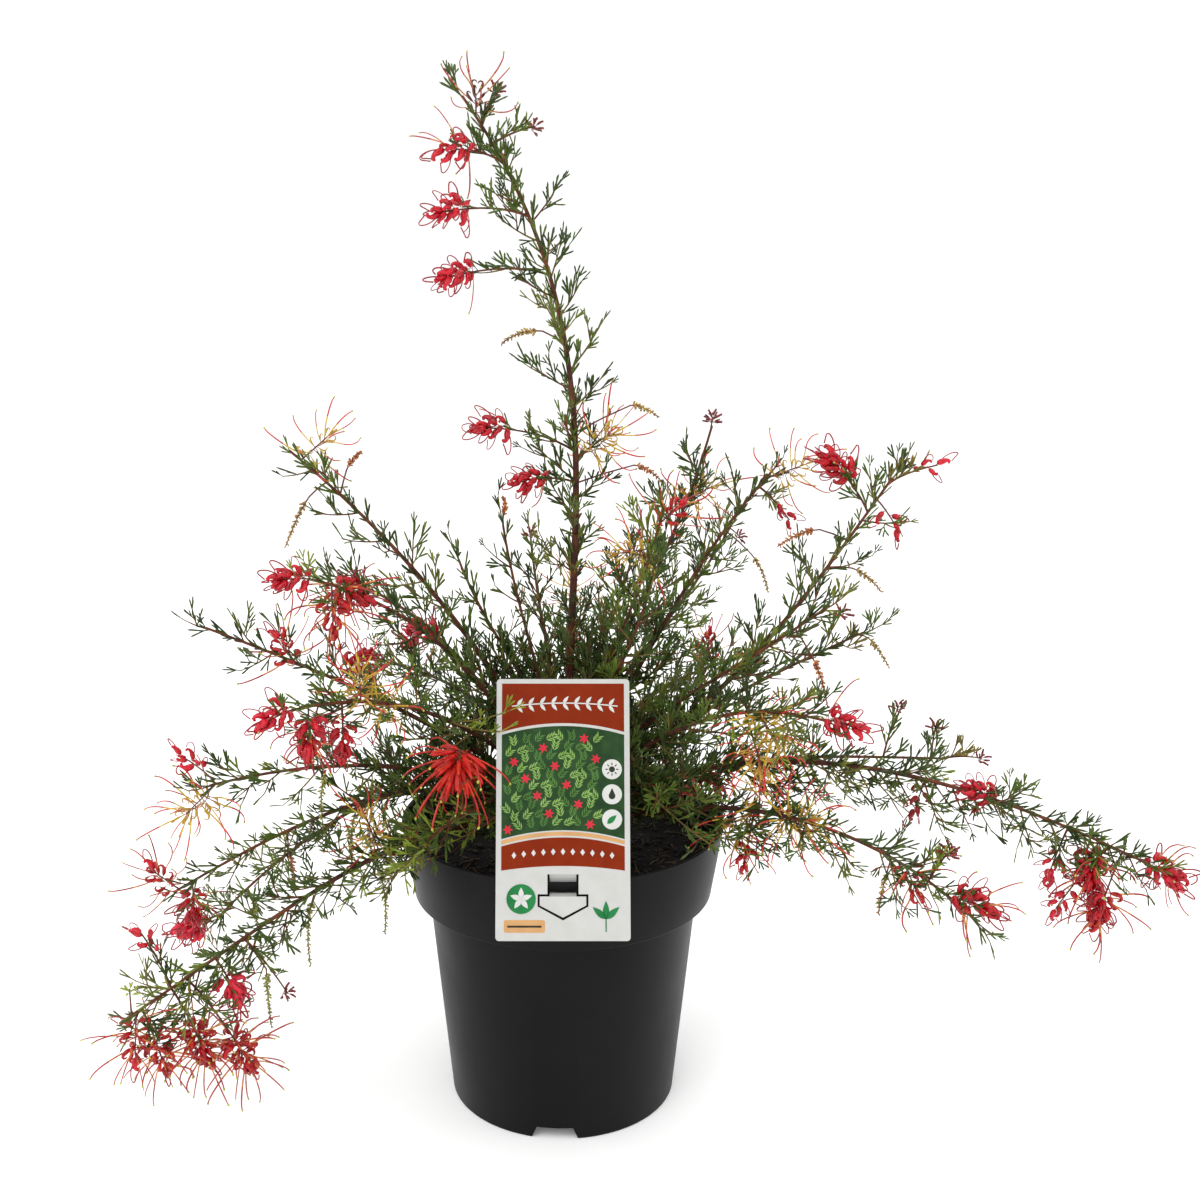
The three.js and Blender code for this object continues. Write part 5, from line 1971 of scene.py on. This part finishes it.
def add_cluster(kind, seat, face, draw, big):
    """Closed and open flowers in a cap round a short axis."""
    closed_count, open_count, spread, axis, flower_size, _, tint_open = cluster_plans[kind]
    total = round((closed_count + open_count) * big)
    open_share = open_count / (closed_count + open_count)
    chance = draw()
    tint_closed = "crimson" if chance < 0.55 else ("rose" if chance < 0.9 else "wine")
    if kind == "pink":
        tint_closed = "pink"
    start_turn = 2 * math.pi * draw()
    room = hanging_bloom_room if kind == "vivid" else bloom_room
    bloom_spheres.append((seat + face * (axis + 5), room))
    for i in range(total):
        share = (i + 0.5) / total
        place = seat + face * axis * (1 - 1.2 * share)
        lean = math.radians(spread * math.sqrt(share) + flower_scatter * (draw() - 0.5))
        way = round_way(face, start_turn + i * golden_turn, lean)
        size = flower_size * (0.8 + 0.36 * draw()) * (0.85 + 0.15 * big)
        is_open = int((i + 1) * open_share) > int(i * open_share)
        bend = face - 0.4 * up + 0.9 * (np.array([draw(), draw(), draw()]) - 0.5)
        spot = (place, way, np.cross(way, bend), size, int(draw() * 3))
        if has_room(place + way * (style_reach if is_open else tube_reach) * size):
            spots = open_spots[tint_open] if is_open else closed_spots[tint_closed]
            spots.append(spot)


def add_raceme(root, seat, face, draw, length, tint):
    """A young raceme: an arched stalk crowded with tiny hooked buds."""
    side = any_across(face) * (1 if draw() < 0.5 else -1)
    path = [seat + face * length * t - up * raceme_sag * length * t * t
            + side * raceme_sway * length * math.sin(2.2 * t) for t in evenly(10)]
    stalk_lines.append((path, eased((0.5, 0.35), len(path))))
    if np.linalg.norm(seat - root) > 2:
        stalk_lines.append(([root, (root + seat) / 2 + 0.6 * up, seat], (0.6, 0.55, 0.5)))
    count = int(length / bud_spacing)
    for i in range(count):
        t = 0.12 + 0.88 * i / count
        k = min(9, int(t * 10))
        place = path[k] + (path[k + 1] - path[k]) * (t * 10 - k)
        lean = math.radians(30 + 34 * draw())
        way = round_way(unit(path[k + 1] - path[k]), i * golden_turn, lean)
        hook_spots[tint].append((place, way, path[k + 1] - path[k],
                                 (1.1 - 0.5 * t) * (0.7 + 0.5 * draw()), int(draw() * 3)))


def add_bud_head(seat, face, draw, tint, count, size):
    """A round head of small buds on their stalks."""
    for i in range(count):
        share = (i + 0.5) / count
        way = round_way(face, i * golden_turn, math.radians(85 * math.sqrt(share)))
        club_spots[tint].append((seat + face * 2.5 * (0.5 - share), way, face,
                                 size * (0.75 + 0.4 * draw()), int(draw() * 3)))


def flower(bough, bloom, draw):
    """One bloom, raceme or head of buds of the table."""
    kind = bloom[0]
    big = bloom[4] if len(bloom) > 4 else 1
    root, seat, face = bloom_seat(bough, bloom)
    if not clears_things(seat, 2):
        return
    if kind in cluster_plans:
        add_stalk(root, seat, face, cluster_plans[kind][3], draw)
        add_cluster(kind, seat, face, draw, big)
    elif kind == "catkin":
        add_raceme(root, seat, face, draw, 18 + 7 * draw(), "olive" if draw() < 0.5 else "bronze")
    elif kind == "spent":
        add_raceme(root, seat, face, draw, 26 + 8 * draw(), "pale")
    else:
        add_stalk(root, seat, face, 2, draw)
        tint, size = ("lime", 0.72) if kind == "lime" else ("maroon", 0.85)
        add_bud_head(seat, face, draw, tint, round(head_buds * big), size)


for bough in boughs:
    draw = make_random(907 + bough.index)
    for bloom in bough.blooms:
        flower(bough, bloom, draw)
print("closed flowers:", sum(len(s) for s in closed_spots.values()),
      "open flowers:", sum(len(s) for s in open_spots.values()))

# %% [markdown]
# The blooms have their places, so now the leaves can grow round them. Leaves that would
# end inside a bloom are left out, and every twig and leaf becomes a mesh.

# %% Twigs and leaves
for bough in boughs:
    grow_bough(bough)
    grow_inside(bough)
grow_over_tag()
grow_over_rim()
print("leaves:", {name: len(spots) for name, spots in leaf_spots.items()})

dress("twigs_rust", limbs_from("twigs_rust", twig_lines["rust"], bark_rust, 5), all_masses)
dress("twigs_olive", limbs_from("twigs_olive", twig_lines["olive"], bark_olive, 5))
for name, spots in leaf_spots.items():
    dress(f"leaves_{name}", cloud(f"leaves_{name}", spots, leaf_shapes, tints[name], False),
          all_masses)

# %% Blossom finishes
petal = {"patch": 190, "roughness": 0.27, "grain": 1500, "depth": 0.15, "spread": 0.1,
         "Specular_IOR_Level": 0.34}


def petal_finishes(**looks):
    """For each tint, the finish with its name, light colour and dark colour."""
    return {tint: finish(name, light, dark, **petal)
            for tint, (name, light, dark) in looks.items()}


tube_finishes = petal_finishes(
    crimson=("petal_crimson", (190, 14, 30), (144, 5, 16)),
    rose=("petal_rose", (200, 24, 44), (160, 9, 26)),
    wine=("petal_wine", (150, 10, 18), (112, 5, 12)),
    pink=("petal_pink", (216, 36, 62), (190, 14, 38)),
    red=("petal_red", (184, 28, 20), (142, 12, 14)),
    gold=("petal_gold", (186, 156, 57), (164, 112, 40)),
    old=("petal_old", (104, 44, 34), (62, 24, 24)),
    vivid=("petal_vivid", (206, 34, 22), (162, 16, 14)))
low_finishes = petal_finishes(
    red=("style_foot_red", (206, 140, 70), (178, 82, 48)),
    gold=("style_foot_gold", (204, 180, 63), (188, 142, 46)),
    old=("style_foot_old", (190, 130, 66), (156, 84, 50)),
    vivid=("style_foot_vivid", (208, 66, 30), (182, 34, 22)))
high_finishes = petal_finishes(
    red=("style_red", (176, 50, 42), (140, 26, 28)),
    gold=("style_orange", (204, 66, 48), (168, 32, 34)),
    old=("style_old", (176, 60, 52), (132, 30, 32)),
    vivid=("style_vivid", (194, 56, 42), (156, 26, 26)))
bud_finishes = petal_finishes(
    maroon=("bud_maroon", (132, 42, 38), (88, 24, 28)),
    lime=("bud_lime", (158, 166, 64), (116, 130, 46)),
    olive=("bud_olive", (176, 150, 76), (140, 108, 54)),
    bronze=("bud_bronze", (186, 120, 64), (142, 80, 46)),
    pale=("bud_pale", (160, 164, 84), (126, 130, 62)))
part_finishes = petal_finishes(
    loop=("loop_crimson", (160, 32, 42), (122, 14, 26)),
    knob=("knob_lime", (182, 188, 74), (140, 148, 46)),
    stalk=("stalk_maroon", (112, 60, 46), (78, 36, 34)),
    pedicel=("pedicel_olive", (164, 116, 62), (128, 58, 42)))
print("tube finishes:", len(tube_finishes), "style finishes:", 2 * len(low_finishes))

# %% Blossom as meshes
all_closed = [spot for group in closed_spots.values() for spot in group]
all_open = [spot for group in open_spots.values() for spot in group]
clouds = [("blossom_pedicels", all_closed + all_open, pedicel_shapes, part_finishes["pedicel"]),
          ("blossom_loops", all_closed, closed_loop_shapes, part_finishes["loop"]),
          ("style_knobs", all_open, knob_shapes, part_finishes["knob"])]
for name, spots in closed_spots.items():
    clouds.append((f"blossom_tubes_{name}", spots, closed_petal_shapes, tube_finishes[name]))
for name, spots in open_spots.items():
    clouds.append((f"blossom_open_{name}", spots, open_petal_shapes[name], tube_finishes[name]))
    clouds.append((f"styles_low_{name}", spots, style_low_shapes, low_finishes[name]))
    clouds.append((f"styles_high_{name}", spots, style_high_shapes, high_finishes[name]))
for name, spots in club_spots.items():
    clouds.append((f"bud_heads_{name}", spots, club_shapes, bud_finishes[name]))
for name, spots in hook_spots.items():
    clouds.append((f"racemes_{name}", spots, hook_shapes, bud_finishes[name]))
dress("blossom_stalks", limbs_from("blossom_stalks", stalk_lines, part_finishes["stalk"], 5))
for name, spots, shapes, material in clouds:
    dress(name, cloud(name, spots, shapes, material))

# %% [markdown]
# ## The floor, and the last measure
# The floor is a wide matt white sheet just under the pot's underside. It is stage, not
# part of the shrub. Last, the dressed model's box is printed beside the imported one.

# %% Floor
floor_half = 6
floor_drop = 0.0002
floor_white = finish("floor_white", (255, 255, 255), (250, 250, 250), 3, 0.9, depth=0.0,
                     Specular_IOR_Level=0.1, Emission_Color=(1, 1, 1, 1), Emission_Strength=0.08)
floor_mesh = bpy.data.meshes.new("studio_floor")
floor_mesh.from_pydata([(x * floor_half, y * floor_half, 0)
                        for x, y in ((-1, -1), (1, -1), (1, 1), (-1, 1))], [], [(0, 1, 2, 3)])
floor = add_object("studio_floor", floor_mesh, floor_white)
floor.location.z = -floor_drop
floor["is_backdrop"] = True
print("floor width in metres:", 2 * floor_half)

# %% Sizes
dressed_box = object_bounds()
print("triangles in all:", sum(count for _, count in dressed))
print("largest piece:", max(dressed, key=lambda item: item[1]))
sizes = {"cad": [list(corner) for corner in cad_box],
         "visual": [list(corner) for corner in dressed_box]}
print("box of the packed model and of the dressed one:", sizes)
